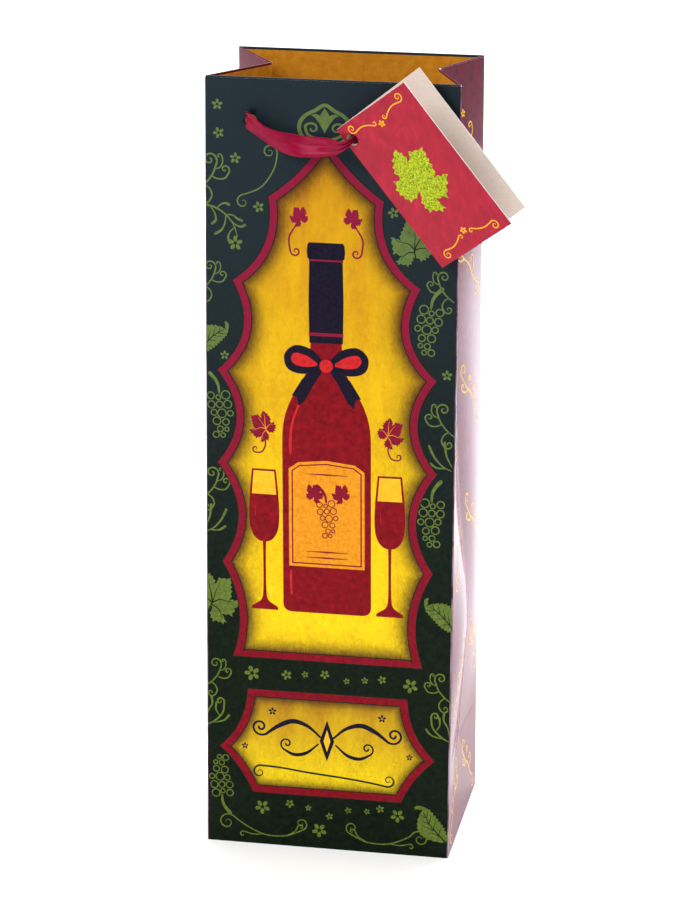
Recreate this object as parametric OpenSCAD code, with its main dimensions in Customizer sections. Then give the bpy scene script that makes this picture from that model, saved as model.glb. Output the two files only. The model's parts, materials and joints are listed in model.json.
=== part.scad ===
// Single-bottle paper gift bag: a tall gusseted bag of laminated paper with a
// folded-in top hem, ribbon handles knotted inside and a folded card tag that
// hangs on the front ribbon.
// Frame: X to the right, Y from the front wall to the back wall, Z up.
// Origin: centre of the base, on the surface the bag stands on.

/* [Bag] */
// Width of the front and back walls
bag_w = 114; // [105:1:125]
// Depth of the base, front to back
bag_d = 89; // [82:1:96]
// Height of the bag
bag_h = 361; // [340:1:380]
// Depth of the mouth, front to back (the walls lean in a little)
mouth_d = 71; // [64:1:80]
// How far the left gusset's crease is pushed in at the mouth
tuck_left = 22.4; // [10:0.1:28]
// How far the right gusset's crease is pushed in at the mouth
tuck_right = 15.2; // [10:0.1:28]

/* [Paper] */
// Thickness of the laminated paper
paper_t = 0.3; // [0.25:0.05:0.4]
// Thickness of the stiffening card inside each top hem
top_card_t = 0.6; // [0.5:0.1:0.8]
// Height of the stiffening card inside each top hem
top_card_h = 38; // [30:1:45]
// Height of the folded-in hem
hem_h = 42; // [35:1:50]
// Thickness of the loose card on the base
base_card_t = 1; // [0.8:0.1:1.5]
// Width of the glued lap at the bag's seam
lap_w = 14; // [10:1:18]

/* [Handles] */
// Half the distance between the two ribbon holes of a wall
hole_x = 36; // [30:1:40]
// Distance of the ribbon holes below the rim
hole_drop = 19; // [16:1:24]
// Radius of the ribbon holes
hole_r = 2.75; // [2.5:0.05:3.5]
// Thickness of a ribbon's solid
ribbon_t = 0.9; // [0.6:0.1:1.2]

/* [Tag] */
// Width of the folded tag, from its fold to its free edge
tag_w = 46; // [40:1:50]
// Length of the tag along its fold
tag_l = 76; // [70:1:80]
// Thickness of the tag's card
tag_t = 0.35; // [0.3:0.05:0.4]
// Tilt of the tag from hanging square, about the ribbon
tag_tilt = 38.5; // [30:0.5:45]
// How far the tag's cover stands open
cover_open = 25; // [20:1:30]
// Radius of the tag's ribbon hole
tag_hole_r = 2.6; // [2.5:0.05:2.8]

/* [Hidden] */

lean = atan((bag_d - mouth_d) / 2 / bag_h);
wall_len = bag_h / cos(lean);
hole_s = wall_len - hole_drop;
hole_z = hole_s * cos(lean);
hinge_y = bag_d / 2 - hole_z * tan(lean) + 0.83;
foot_h = bag_d / 2;                 // height of the gusset's level crease
knot_front_z = hole_z - 62;
knot_back_z = hole_z - 30;
green = [0.06, 0.10, 0.08];
crimson = [0.42, 0.02, 0.12];
orange = [0.80, 0.42, 0.04];
satin = [0.80, 0.02, 0.22];

// Inner face of a long wall, as a distance from the middle of the bag
function face_y(z, inset = 0) = bag_d / 2 - z * tan(lean) - (paper_t + inset) / cos(lean);
// Distance of each gusset's crease from the middle plane, by height
function crease_left(z) = lookup(z, [[0, bag_w / 2], [foot_h, bag_w / 2 - 2],
    [100, bag_w / 2 - 1], [bag_h, bag_w / 2 - tuck_left]]);
function crease_right(z) = lookup(z, [[0, bag_w / 2], [foot_h, bag_w / 2 - 2.5],
    [75, bag_w / 2 - 0.5], [107, bag_w / 2 + 1.5], [160, bag_w / 2 - 4],
    [bag_h, bag_w / 2 - tuck_right]]);
function crease(side, z) = side > 0 ? crease_right(z) : crease_left(z);

// Closed solid through rings that all have the same number of points
module skin(rings, flip = false) {
    n = len(rings[0]);
    m = len(rings);
    tri = concat(
        [for (j = [0 : m - 2]) for (i = [0 : n - 1])
            each [[j * n + i, (j + 1) * n + i, (j + 1) * n + (i + 1) % n],
                  [j * n + i, (j + 1) * n + (i + 1) % n, j * n + (i + 1) % n]]],
        [for (i = [1 : n - 2]) [0, i, i + 1]],
        [for (i = [1 : n - 2]) [(m - 1) * n, (m - 1) * n + i + 1, (m - 1) * n + i]]);
    polyhedron([for (r = rings) for (p = r) p],
        flip ? [for (f = tri) [f[2], f[1], f[0]]] : tri, convexity = 8);
}

// A plate in the front wall's own plane: s runs up the wall, d runs inwards
module front_plate(x0, x1, s0, s1, d0, t) {
    translate([0, -bag_d / 2, 0]) rotate([-lean, 0, 0])
        translate([x0, d0, s0]) cube([x1 - x0, t, s1 - s0]);
}

module front_holes() {
    for (x = [-hole_x, hole_x])
        translate([0, -bag_d / 2, 0]) rotate([-lean, 0, 0])
            translate([x, -2, hole_s]) rotate([-90, 0, 0]) cylinder(h = 6, r = hole_r, $fn = 48);
}

module long_wall() {
    difference() {
        front_plate(-bag_w / 2, bag_w / 2, 0.01, wall_len, 0, paper_t);
        front_holes();
    }
}
module front_wall() { color(green) long_wall(); }
module back_wall() { color(green) mirror([0, 1, 0]) long_wall(); }

// Half of a gusset's sheet above its level crease: face -1 is the front half.
// Both faces of the sheet are split along the same diagonals, so its thickness is even.
function slant(side, z) = 1 / cos(atan2(bag_w / 2 - crease(side, z), face_y(z)));
module gusset_half(side, face, zs, inset, t, gap) {
    m = len(zs);
    tri = concat(
        [for (j = [0 : m - 2]) let (a = 4 * j)
            each [[a, a + 4, a + 5], [a, a + 5, a + 1], [a + 1, a + 5, a + 6], [a + 1, a + 6, a + 2],
                  [a + 2, a + 6, a + 3], [a + 3, a + 6, a + 7], [a + 3, a + 7, a + 4], [a + 3, a + 4, a]]],
        [[0, 1, 2], [0, 2, 3], [4 * m - 4, 4 * m - 2, 4 * m - 3], [4 * m - 4, 4 * m - 1, 4 * m - 2]]);
    polyhedron([for (z = zs) let (c = crease(side, z), y = face_y(z),
                                  e = bag_w / 2 - (bag_w / 2 - c) * gap / y, k = slant(side, z))
        each [[side * (e - inset * k), face * (y - gap), z],
              [side * (c - inset * k), face * 0.005, z],
              [side * (c - (inset + t) * k), face * 0.005, z],
              [side * (e - (inset + t) * k), face * (y - gap), z]]],
        side * face > 0 ? [for (f = tri) [f[2], f[1], f[0]]] : tri, convexity = 6);
}
hem_levels = [for (k = [0 : 3]) bag_h - hem_h * (1 - k / 3)];
heights_right = concat([foot_h, 75, 107, 135, 160, 200, 240, 280], hem_levels);
heights_left = concat([foot_h, 75, 100, 135, 160, 200, 240, 280], hem_levels);

module left_gusset_front() { color(crimson) gusset_half(-1, -1, heights_left, 0, paper_t, 0.02); }
module left_gusset_rear() { color(crimson) gusset_half(-1, 1, heights_left, 0, paper_t, 0.02); }
module right_gusset_front() { color(crimson) gusset_half(1, -1, heights_right, 0, paper_t, 0.02); }
module right_gusset_rear() { color(crimson) gusset_half(1, 1, heights_right, 0, paper_t, 0.02); }

// Three triangles below the level crease: two corners and the middle one
module gusset_foot(side) {
    j = [side * crease(side, foot_h), 0, foot_h];
    f0 = [side * bag_w / 2, -face_y(0) + 0.02, 0];
    b0 = [side * bag_w / 2, face_y(0) - 0.02, 0];
    fh = [side * bag_w / 2, -face_y(foot_h) + 0.02, foot_h];
    bh = [side * bag_w / 2, face_y(foot_h) - 0.02, foot_h];
    in = [-side * paper_t, 0, 0];
    for (t = [[f0, j, fh], [f0, b0, j], [b0, bh, j]])
        skin([t, [for (p = t) p + in]], side > 0);
}
module left_gusset_foot() { color(crimson) gusset_foot(-1); }
module right_gusset_foot() { color(crimson) gusset_foot(1); }

// Glued lap: the sheet's last strip, inside the back wall at the left corner
module seam_lap() {
    color("white") mirror([0, 1, 0])
        front_plate(-bag_w / 2 + 1, -bag_w / 2 + 1 + lap_w, 3, wall_len - hem_h - 1, paper_t + 0.01, paper_t);
}

// Folded-in hem of a long wall, over its stiffening card
module long_hem() {
    d = paper_t + top_card_t;
    difference() {
        union() {
            front_plate(-bag_w / 2 + 1.8, bag_w / 2 - 1.8, wall_len - hem_h, wall_len, d, paper_t);
            front_plate(-bag_w / 2 + 1.8, bag_w / 2 - 1.8, wall_len - paper_t, wall_len, paper_t, top_card_t + 0.01);
        }
        front_holes();
    }
}
module front_hem() { color(orange) long_hem(); }
module back_hem() { color(orange) mirror([0, 1, 0]) long_hem(); }

module gusset_hem(side) {
    for (face = [-1, 1])
        gusset_half(side, face, hem_levels, paper_t + 0.06, paper_t, top_card_t + 2 * paper_t + 0.1);
}
module left_gusset_hem() { color(orange) gusset_hem(-1); }
module right_gusset_hem() { color(orange) gusset_hem(1); }

module top_card() {
    difference() {
        front_plate(-bag_w / 2 + 2.5, bag_w / 2 - 2.5, wall_len - top_card_h, wall_len - paper_t - 0.05,
            paper_t, top_card_t);
        front_holes();
    }
}
module front_top_card() { color("lightgray") top_card(); }
module back_top_card() { color("lightgray") mirror([0, 1, 0]) top_card(); }

// Base: two long flaps lapped over two side tucks, and a loose card
base_x = bag_w / 2 - paper_t - 0.3;
base_y = bag_d / 2 - paper_t - 0.1;
module base_flap_rear() { color(green) translate([-base_x, -14, 0]) cube([2 * base_x, base_y + 14, paper_t]); }
module base_flap_front() { color(green) translate([-base_x, -base_y, paper_t]) cube([2 * base_x, base_y + 18, paper_t]); }
module base_tuck() {
    translate([0, 0, 2 * paper_t]) linear_extrude(paper_t)
        polygon([[-base_x, -base_y], [-base_x, base_y], [-18, 18], [-18, -18]]);
}
module base_tuck_left() { color("white") base_tuck(); }
module base_tuck_right() { color("white") mirror([1, 0, 0]) base_tuck(); }
module base_card() {
    color("lightgray") translate([-bag_w / 2 + 2.5, -bag_d / 2 + 2.5, 3 * paper_t])
        cube([bag_w - 5, bag_d - 5, base_card_t]);
}

// Flat band swept along points p, half as wide as h at each, width along w.
// Its tips are square to e when that is given.
function unit(v) = v / norm(v);
function tangent(p, i) = unit(p[min(i + 1, len(p) - 1)] - p[max(i - 1, 0)]);
function band_ring(c, t, w, h, k) =
    let (a = unit(w - t * (w * t)), b = cross(t, a))
    [for (q = [0 : 7]) c + a * h * cos(22.5 + 45 * q) + b * k * sin(22.5 + 45 * q)];
module band(p, h, w, e = undef) {
    skin([for (i = [0 : len(p) - 1])
        band_ring(p[i], (e != undef && (i == 0 || i == len(p) - 1)) ? e : tangent(p, i), w[i], h[i], ribbon_t / 2)]);
}
up = [0, 0, 1];

// Front ribbon outside the bag, at rest: a short swag from the left hole into
// the tag's hole, then behind the tag to the right hole
left_run = [[-34.4, -37.6, 341.6], [-32.5, -38.6, 340], [-29.5, -39.4, 337.4], [-25, -40, 334.4],
            [-19, -40.4, 331.6], [-12, -41, 330.5], [-6, -42.2, 331], [-0.5, -43.6, 332]];
left_half = [1.3, 2.2, 3.4, 4.2, 4.5, 4.4, 3.8, 2.8];
right_run = [[20.5, -39, 339.2], [25, -38.7, 340.1], [30, -38.1, 341.1], [34.6, -37.3, 341.8]];
right_half = [1.8, 2, 1.9, 1.3];
// The ribbon's middle, where it passes through both leaves of the tag
bight = [10, -bag_d / 2 + 2.3, 336.5];
tag_y = bight.y + 0.2;
tag_hole_x = 4;       // from the fold to the hole's centre
tag_hole_z = 7.5;     // from the tag's end to the hole's centre
tag_bight_x = 2.6;    // from the fold to the ribbon's middle

module front_ribbon_left() { color(satin) band(left_run, left_half, [for (i = left_run) up], [1, 0, 0]); }
module front_ribbon_right() { color(satin) band(right_run, right_half, [for (i = right_run) up], [1, 0, 0]); }
module front_ribbon_bight() {
    color(satin) translate([bight.x, bight.y + 2.2, bight.z]) rotate([90, 0, 0]) cylinder(h = 5.6, r = 1, $fn = 32);
}

// Stretches of the ribbons inside the bag, from each hole down to its knot.
// The wall stands at wy there.
module tails(wy, zk) {
    for (x = [-1, 1]) {
        p = [[x * hole_x, -wy - 0.1, hole_z], [x * hole_x, -wy + 1.6, hole_z - 0.1],
             [x * hole_x, -wy + 2.7, hole_z - 1.2], [x * hole_x, -wy + 3.2, hole_z - 4],
             [x * (hole_x + 0.4), -wy + 3.3, hole_z - 12],
             [x * (hole_x + 0.6), -wy + 3.3, (hole_z + zk) / 2],
             [x * (hole_x + 0.8), -wy + 3.3, zk + 4.4]];
        band(p, [1.6, 1.8, 2.2, 2.8, 3.4, 3.4, 2.2], [for (i = p) [1, 0, 0]]);
    }
}
module knots(wy, zk) {
    for (x = [-1, 1]) translate([x * (hole_x + 0.8), -wy + 3.3, zk]) {
        scale([1, 0.8, 1.05]) sphere(r = 4, $fn = 20);
        band([[0, 0, -2], [0.3 * x, 0.2, -7], [x, 0.4, -12]], [2, 3.2, 4], [[1, 0, 0], [1, 0, 0], [1, 0, 0]]);
    }
}
wall_at_hole = bag_d / 2 - hole_z * tan(lean);
module front_ribbon_tails() { color(satin) tails(wall_at_hole, knot_front_z); }
module front_knots() { color(satin) knots(wall_at_hole, knot_front_z); }
module back_ribbon_tails() { color(satin) mirror([0, 1, 0]) tails(wall_at_hole, knot_back_z); }
module back_knots() { color(satin) mirror([0, 1, 0]) knots(wall_at_hole, knot_back_z); }

// Back ribbon outside the bag: a full loop, hanging
back_half = [[-36, 37.5, 341], [-36.2, 38.7, 338], [-36, 39.4, 331], [-35, 39.9, 320], [-33, 40.3, 309],
             [-29.5, 40.6, 298], [-24.5, 40.9, 289], [-17.5, 41.2, 281.5], [-9, 41.4, 277], [0, 41.5, 275.5]];
back_run = concat(back_half, [for (i = [len(back_half) - 2 : -1 : 0]) [-back_half[i].x, back_half[i].y, back_half[i].z]]);
back_wide = [for (i = [0 : len(back_run) - 1])
    let (k = min(i, len(back_run) - 1 - i)) lookup(k, [[0, 1.3], [1, 1.9], [2, 2.8], [4, 3.6], [9, 4.2]])];
module back_ribbon() {
    color(satin) band(back_run, back_wide,
        [for (i = [0 : len(back_run) - 1]) let (t = tangent(back_run, i)) cross(t, [0, 1, 0]) * cos(20) + [0, sin(20), 0]]);
}

// Tag: its own frame has the fold's upper end at the origin, x across, z down the fold
module tag_place() {
    c = cos(tag_tilt);
    s = sin(tag_tilt);
    translate([bight.x - tag_bight_x * c - tag_hole_z * s, tag_y, bight.z - tag_bight_x * s + tag_hole_z * c])
        rotate([0, -tag_tilt, 0]) children();
}
module leaf() {
    difference() {
        translate([0, -tag_t, -tag_l]) cube([tag_w, tag_t, tag_l]);
        translate([tag_hole_x, 1, -tag_hole_z]) rotate([90, 0, 0]) cylinder(h = 3, r = tag_hole_r, $fn = 48);
    }
}
module tag_back() { color([0.86, 0.80, 0.76]) tag_place() leaf(); }
module tag_cover() {
    color([0.75, 0.05, 0.16]) tag_place() translate([0, -tag_t, 0]) rotate([0, 0, -cover_open]) leaf();
}

front_wall();
back_wall();
left_gusset_front();
left_gusset_rear();
left_gusset_foot();
right_gusset_front();
right_gusset_rear();
right_gusset_foot();
seam_lap();
front_hem();
back_hem();
left_gusset_hem();
right_gusset_hem();
front_top_card();
back_top_card();
base_flap_front();
base_flap_rear();
base_tuck_left();
base_tuck_right();
base_card();
front_ribbon_tails();
front_knots();
back_ribbon_tails();
back_knots();
front_ribbon_left();
front_ribbon_right();
front_ribbon_bight();
tag_back();
tag_cover();
back_ribbon();
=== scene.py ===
import bpy
import bmesh
import json
import math
import random
from math import cos, sin, pi, radians, sqrt, atan2, hypot
from mathutils import Matrix, Vector
from mathutils.geometry import tessellate_polygon
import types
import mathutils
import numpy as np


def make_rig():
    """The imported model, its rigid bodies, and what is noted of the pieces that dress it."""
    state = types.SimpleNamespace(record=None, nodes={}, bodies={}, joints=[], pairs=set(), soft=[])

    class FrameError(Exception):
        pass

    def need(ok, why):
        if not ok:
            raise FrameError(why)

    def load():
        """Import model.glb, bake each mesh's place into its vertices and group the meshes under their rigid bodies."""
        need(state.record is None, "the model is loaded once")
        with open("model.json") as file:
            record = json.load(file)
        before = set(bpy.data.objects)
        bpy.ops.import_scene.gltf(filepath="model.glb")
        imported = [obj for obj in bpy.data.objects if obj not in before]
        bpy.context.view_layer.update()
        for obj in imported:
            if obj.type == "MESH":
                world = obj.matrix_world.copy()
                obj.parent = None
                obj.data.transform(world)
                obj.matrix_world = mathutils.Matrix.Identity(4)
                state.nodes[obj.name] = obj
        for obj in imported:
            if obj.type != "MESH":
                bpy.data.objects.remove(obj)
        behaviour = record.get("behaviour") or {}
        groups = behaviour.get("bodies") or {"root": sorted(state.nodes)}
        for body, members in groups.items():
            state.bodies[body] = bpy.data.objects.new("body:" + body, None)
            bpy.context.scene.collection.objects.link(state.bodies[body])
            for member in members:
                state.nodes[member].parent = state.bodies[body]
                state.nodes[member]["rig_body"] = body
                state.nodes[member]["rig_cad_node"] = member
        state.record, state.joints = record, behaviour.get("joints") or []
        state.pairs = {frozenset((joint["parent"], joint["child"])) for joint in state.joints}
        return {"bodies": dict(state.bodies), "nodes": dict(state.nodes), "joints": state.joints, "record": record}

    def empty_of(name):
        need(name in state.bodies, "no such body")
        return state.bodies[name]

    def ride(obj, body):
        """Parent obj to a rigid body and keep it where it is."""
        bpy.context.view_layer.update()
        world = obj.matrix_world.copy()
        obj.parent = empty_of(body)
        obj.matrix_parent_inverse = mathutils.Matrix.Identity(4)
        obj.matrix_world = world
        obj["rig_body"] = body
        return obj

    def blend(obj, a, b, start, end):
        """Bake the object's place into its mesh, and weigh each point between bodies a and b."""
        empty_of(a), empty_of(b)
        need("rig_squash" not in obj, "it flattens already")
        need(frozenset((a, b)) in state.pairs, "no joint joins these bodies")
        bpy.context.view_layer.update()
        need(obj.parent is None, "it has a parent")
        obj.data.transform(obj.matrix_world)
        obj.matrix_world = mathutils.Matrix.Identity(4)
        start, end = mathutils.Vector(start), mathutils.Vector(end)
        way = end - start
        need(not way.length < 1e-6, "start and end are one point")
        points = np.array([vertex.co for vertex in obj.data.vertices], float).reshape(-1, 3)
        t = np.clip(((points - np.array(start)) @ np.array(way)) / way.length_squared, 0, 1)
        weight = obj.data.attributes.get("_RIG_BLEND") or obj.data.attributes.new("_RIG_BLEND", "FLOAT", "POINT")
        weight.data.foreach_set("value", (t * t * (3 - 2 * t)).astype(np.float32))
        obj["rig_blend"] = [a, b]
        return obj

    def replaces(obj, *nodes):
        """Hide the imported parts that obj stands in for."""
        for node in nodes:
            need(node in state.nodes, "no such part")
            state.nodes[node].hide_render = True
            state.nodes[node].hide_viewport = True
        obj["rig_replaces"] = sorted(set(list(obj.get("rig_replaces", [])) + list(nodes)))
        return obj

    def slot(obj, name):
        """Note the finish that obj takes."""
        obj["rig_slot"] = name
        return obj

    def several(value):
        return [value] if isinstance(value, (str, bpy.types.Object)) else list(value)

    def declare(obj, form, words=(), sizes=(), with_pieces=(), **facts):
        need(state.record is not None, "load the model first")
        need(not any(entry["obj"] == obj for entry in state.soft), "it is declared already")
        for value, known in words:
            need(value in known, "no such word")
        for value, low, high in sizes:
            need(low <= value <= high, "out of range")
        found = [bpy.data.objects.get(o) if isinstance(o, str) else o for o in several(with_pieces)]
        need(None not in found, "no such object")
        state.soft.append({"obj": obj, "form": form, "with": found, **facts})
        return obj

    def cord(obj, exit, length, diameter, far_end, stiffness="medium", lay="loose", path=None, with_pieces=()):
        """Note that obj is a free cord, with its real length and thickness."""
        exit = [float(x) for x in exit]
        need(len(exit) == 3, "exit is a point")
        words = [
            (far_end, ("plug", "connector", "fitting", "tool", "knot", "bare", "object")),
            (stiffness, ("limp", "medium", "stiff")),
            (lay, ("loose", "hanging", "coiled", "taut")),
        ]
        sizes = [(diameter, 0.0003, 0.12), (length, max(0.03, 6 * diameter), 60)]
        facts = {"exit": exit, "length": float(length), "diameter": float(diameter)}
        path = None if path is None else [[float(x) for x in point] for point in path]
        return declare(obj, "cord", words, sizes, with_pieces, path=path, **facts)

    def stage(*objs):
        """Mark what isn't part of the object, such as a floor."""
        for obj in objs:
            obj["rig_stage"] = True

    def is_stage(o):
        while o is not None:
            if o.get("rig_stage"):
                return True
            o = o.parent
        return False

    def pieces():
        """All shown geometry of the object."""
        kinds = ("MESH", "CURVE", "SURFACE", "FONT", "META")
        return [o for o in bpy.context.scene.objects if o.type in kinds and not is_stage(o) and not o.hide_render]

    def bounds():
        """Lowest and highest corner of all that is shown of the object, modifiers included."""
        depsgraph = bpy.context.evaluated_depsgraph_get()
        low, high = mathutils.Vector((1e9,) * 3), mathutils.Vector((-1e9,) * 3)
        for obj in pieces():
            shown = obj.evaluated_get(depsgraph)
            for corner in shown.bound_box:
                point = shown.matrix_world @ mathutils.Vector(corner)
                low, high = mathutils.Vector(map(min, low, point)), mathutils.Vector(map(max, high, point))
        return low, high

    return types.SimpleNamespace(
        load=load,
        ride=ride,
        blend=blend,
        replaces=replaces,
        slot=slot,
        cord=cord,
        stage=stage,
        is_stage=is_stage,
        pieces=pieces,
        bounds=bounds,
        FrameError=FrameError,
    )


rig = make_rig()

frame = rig.load()
CAD_BOX = [list(map(float, v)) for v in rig.bounds()]
MM = 0.001
JOINT = {j["name"]: j for j in frame["record"]["behaviour"]["joints"]}

# ---------------------------------------------------------------- camera
scene = bpy.context.scene
YAW, PITCH, ROLL = 0.1816, -0.3100, 0.0032
fwd = Vector((-sin(YAW) * cos(PITCH), cos(YAW) * cos(PITCH), sin(PITCH)))
rgt = Vector((cos(YAW), sin(YAW), 0))
upv = rgt.cross(fwd)
r2 = rgt * cos(ROLL) + upv * sin(ROLL)
u2 = upv * cos(ROLL) - rgt * sin(ROLL)
cam_data = bpy.data.cameras.new("camera")
cam = bpy.data.objects.new("camera", cam_data)
scene.collection.objects.link(cam)
rot = Matrix((r2, u2, -fwd)).transposed().to_4x4()
cam.matrix_world = Matrix.Translation(Vector((0.25525, -1.40412, 0.63562))) @ rot
cam_data.sensor_width = 36
cam_data.lens = 3242.4 * 36 / 911
cam_data.clip_start = 0.01
cam_data.clip_end = 100
cam_data.dof.use_dof = False
scene.camera = cam


# ---------------------------------------------------------------- helpers
def lin(r, g, b):
    """sRGB 0-255 to linear."""
    out = []
    for c in (r, g, b):
        c = c / 255
        out.append(c / 12.92 if c <= 0.04045 else ((c + 0.055) / 1.055) ** 2.4)
    return out


def lerp(a, b, t):
    return a + (b - a) * t


def clamp(x, a=0.0, b=1.0):
    return max(a, min(b, x))


def smooth(a, b, x):
    t = clamp((x - a) / (b - a))
    return t * t * (3 - 2 * t)


def table(rows, x):
    if x <= rows[0][0]:
        return rows[0][1]
    for (x0, y0), (x1, y1) in zip(rows, rows[1:]):
        if x <= x1:
            return lerp(y0, y1, (x - x0) / (x1 - x0))
    return rows[-1][1]


def soft_table(rows, x, w):
    return sum(table(rows, x + w * k / 4) for k in range(-4, 5)) / 9


def add_object(name, verts, faces, mats=(), face_mats=None, smooth_shade=True, recalc=True):
    """verts in mm."""
    me = bpy.data.meshes.new(name)
    me.from_pydata([(v[0] * MM, v[1] * MM, v[2] * MM) for v in verts], [], faces)
    for m in mats:
        me.materials.append(m)
    if face_mats:
        me.polygons.foreach_set("material_index", face_mats)
    if recalc:
        bm = bmesh.new()
        bm.from_mesh(me)
        bmesh.ops.recalc_face_normals(bm, faces=bm.faces)
        bm.to_mesh(me)
        bm.free()
    if smooth_shade:
        me.polygons.foreach_set("use_smooth", [True] * len(me.polygons))
    me.update()
    ob = bpy.data.objects.new(name, me)
    scene.collection.objects.link(ob)
    return ob


def sharpen(ob, angle=35):
    """Mark edges sharper than angle, so that folds and rims stay crisp."""
    me = ob.data
    bm = bmesh.new()
    bm.from_mesh(me)
    lim = radians(angle)
    for e in bm.edges:
        if len(e.link_faces) == 2:
            e.smooth = e.calc_face_angle(0) < lim
    bm.to_mesh(me)
    bm.free()


def drill(ob, cuts, mat):
    """Cut round holes: cuts is a list of (centre mm, axis, radius mm, half length mm)."""
    verts, faces = [], []
    for c, ax, r, h in cuts:
        ax = Vector(ax).normalized()
        a = ax.orthogonal().normalized()
        b = ax.cross(a)
        c = Vector(c)
        base = len(verts)
        n = 40
        for k in range(n):
            t = 2 * pi * k / n
            verts.append(c - ax * h + a * r * cos(t) + b * r * sin(t))
        for k in range(n):
            t = 2 * pi * k / n
            verts.append(c + ax * h + a * r * cos(t) + b * r * sin(t))
        for k in range(n):
            k2 = (k + 1) % n
            faces.append((base + k, base + k2, base + n + k2, base + n + k))
        faces.append(tuple(base + n - 1 - k for k in range(n)))
        faces.append(tuple(base + n + k for k in range(n)))
    cutter = add_object("cutter", verts, faces, [mat])
    m = ob.modifiers.new("holes", "BOOLEAN")
    m.operation = "DIFFERENCE"
    m.solver = "EXACT"
    m.object = cutter
    m.material_mode = "TRANSFER"
    apply_modifiers(ob)
    bpy.data.objects.remove(cutter)


def apply_modifiers(ob):
    dg = bpy.context.evaluated_depsgraph_get()
    dg.update()
    me = bpy.data.meshes.new_from_object(ob.evaluated_get(dg))
    old = ob.data
    ob.modifiers.clear()
    ob.data = me
    bpy.data.meshes.remove(old)


# ---------------------------------------------------------------- materials
def new_material(name):
    m = bpy.data.materials.new(name)
    m.use_nodes = True
    nt = m.node_tree
    nt.nodes.clear()
    out = nt.nodes.new("ShaderNodeOutputMaterial")
    bsdf = nt.nodes.new("ShaderNodeBsdfPrincipled")
    nt.links.new(bsdf.outputs[0], out.inputs[0])
    return m, nt, bsdf


def noise(nt, scale, detail=3.0, rough=0.55, coord="Object", stretch=None, distortion=0.0):
    tc = nt.nodes.new("ShaderNodeTexCoord")
    src = tc.outputs[coord]
    if stretch:
        mp = nt.nodes.new("ShaderNodeMapping")
        mp.inputs["Scale"].default_value = stretch
        nt.links.new(src, mp.inputs[0])
        src = mp.outputs[0]
    n = nt.nodes.new("ShaderNodeTexNoise")
    n.inputs["Scale"].default_value = scale
    n.inputs["Detail"].default_value = detail
    n.inputs["Roughness"].default_value = rough
    n.inputs["Distortion"].default_value = distortion
    nt.links.new(src, n.inputs["Vector"])
    return n.outputs[0]


def ramp(nt, fac, stops):
    r = nt.nodes.new("ShaderNodeValToRGB")
    el = r.color_ramp.elements
    while len(el) < len(stops):
        el.new(0.5)
    for e, (p, c) in zip(el, stops):
        e.position = p
        e.color = (*c[:3], 1)
    nt.links.new(fac, r.inputs[0])
    return r.outputs[0]


def mix(nt, fac, a, b, mode="MIX"):
    n = nt.nodes.new("ShaderNodeMix")
    n.data_type = "RGBA"
    n.blend_type = mode
    n.clamp_factor = True
    for sock, val in ((n.inputs[0], fac), (n.inputs[6], a), (n.inputs[7], b)):
        if hasattr(val, "is_linked") or hasattr(val, "links"):
            nt.links.new(val, sock)
        elif isinstance(val, (int, float)):
            sock.default_value = val
        else:
            sock.default_value = (*val[:3], 1)
    return n.outputs[2]


def math_node(nt, op, a, b=None):
    n = nt.nodes.new("ShaderNodeMath")
    n.operation = op
    for i, v in enumerate((a, b)):
        if v is None:
            continue
        if isinstance(v, (int, float)):
            n.inputs[i].default_value = v
        else:
            nt.links.new(v, n.inputs[i])
    return n.outputs[0]


def rough_range(nt, fac, lo, hi):
    n = nt.nodes.new("ShaderNodeMapRange")
    n.inputs["To Min"].default_value = lo
    n.inputs["To Max"].default_value = hi
    nt.links.new(fac, n.inputs[0])
    return n.outputs[0]


def bump(nt, bsdf, height, strength, distance=0.0002):
    b = nt.nodes.new("ShaderNodeBump")
    b.inputs["Strength"].default_value = strength
    b.inputs["Distance"].default_value = distance
    nt.links.new(height, b.inputs["Height"])
    nt.links.new(b.outputs[0], bsdf.inputs["Normal"])


COAT, COAT_ROUGH = 0.06, 0.06


def painted_sheen_by_height(nt, z0, z1, col, top_tint, amount):
    """Painted sheen: the print's colour drifts from the foot to the rim towards a hazy tint that stands in for the
    glossy film's reflection.
    """
    tc = nt.nodes.new("ShaderNodeTexCoord")
    sep = nt.nodes.new("ShaderNodeSeparateXYZ")
    nt.links.new(tc.outputs["Object"], sep.inputs[0])
    mr = nt.nodes.new("ShaderNodeMapRange")
    mr.interpolation_type = "SMOOTHSTEP"
    mr.inputs["From Min"].default_value = z0
    mr.inputs["From Max"].default_value = z1
    mr.inputs["To Max"].default_value = amount
    nt.links.new(sep.outputs[2], mr.inputs[0])
    return mix(nt, mr.outputs[0], col, top_tint)


def printed(name, dark, light, grain=420.0, warp=0.02, spread=(0.30, 0.72), coat=COAT, extra=None, ior=1.5, spec=0.03):
    """Glossy laminated print: two tones of ink broken up by grain, under a film."""
    m, nt, b = new_material(name)
    n1 = noise(nt, grain, 4.0, 0.62)
    col = ramp(nt, n1, [(spread[0], dark), (spread[1], light)])
    n2 = noise(nt, 26.0, 2.0, 0.5)
    col = mix(nt, math_node(nt, "MULTIPLY", n2, 0.35), col, [c * 0.6 for c in dark])
    if extra:
        col = extra(nt, col)
    nt.links.new(col, b.inputs["Base Color"])
    nt.links.new(rough_range(nt, n1, 0.36, 0.46), b.inputs["Roughness"])
    b.inputs["Specular IOR Level"].default_value = spec
    b.inputs["Coat Weight"].default_value = coat
    b.inputs["Coat Roughness"].default_value = COAT_ROUGH
    b.inputs["Coat IOR"].default_value = ior
    bump(nt, b, noise(nt, 30.0, 2.0, 0.5), warp, 0.002)
    return m


green_dark, green_lite = lin(4, 13, 5), lin(15, 29, 12)
olive_dark, olive_lite = lin(66, 84, 30), lin(110, 128, 48)
crim_dark, crim_lite = lin(102, 6, 20), lin(142, 14, 32)
navy_dark, navy_lite = lin(12, 9, 24), lin(28, 22, 42)

# The green, olive and crimson prints drift to a hazy tint towards the rim: painted sheen for the film's reflection.
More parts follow.
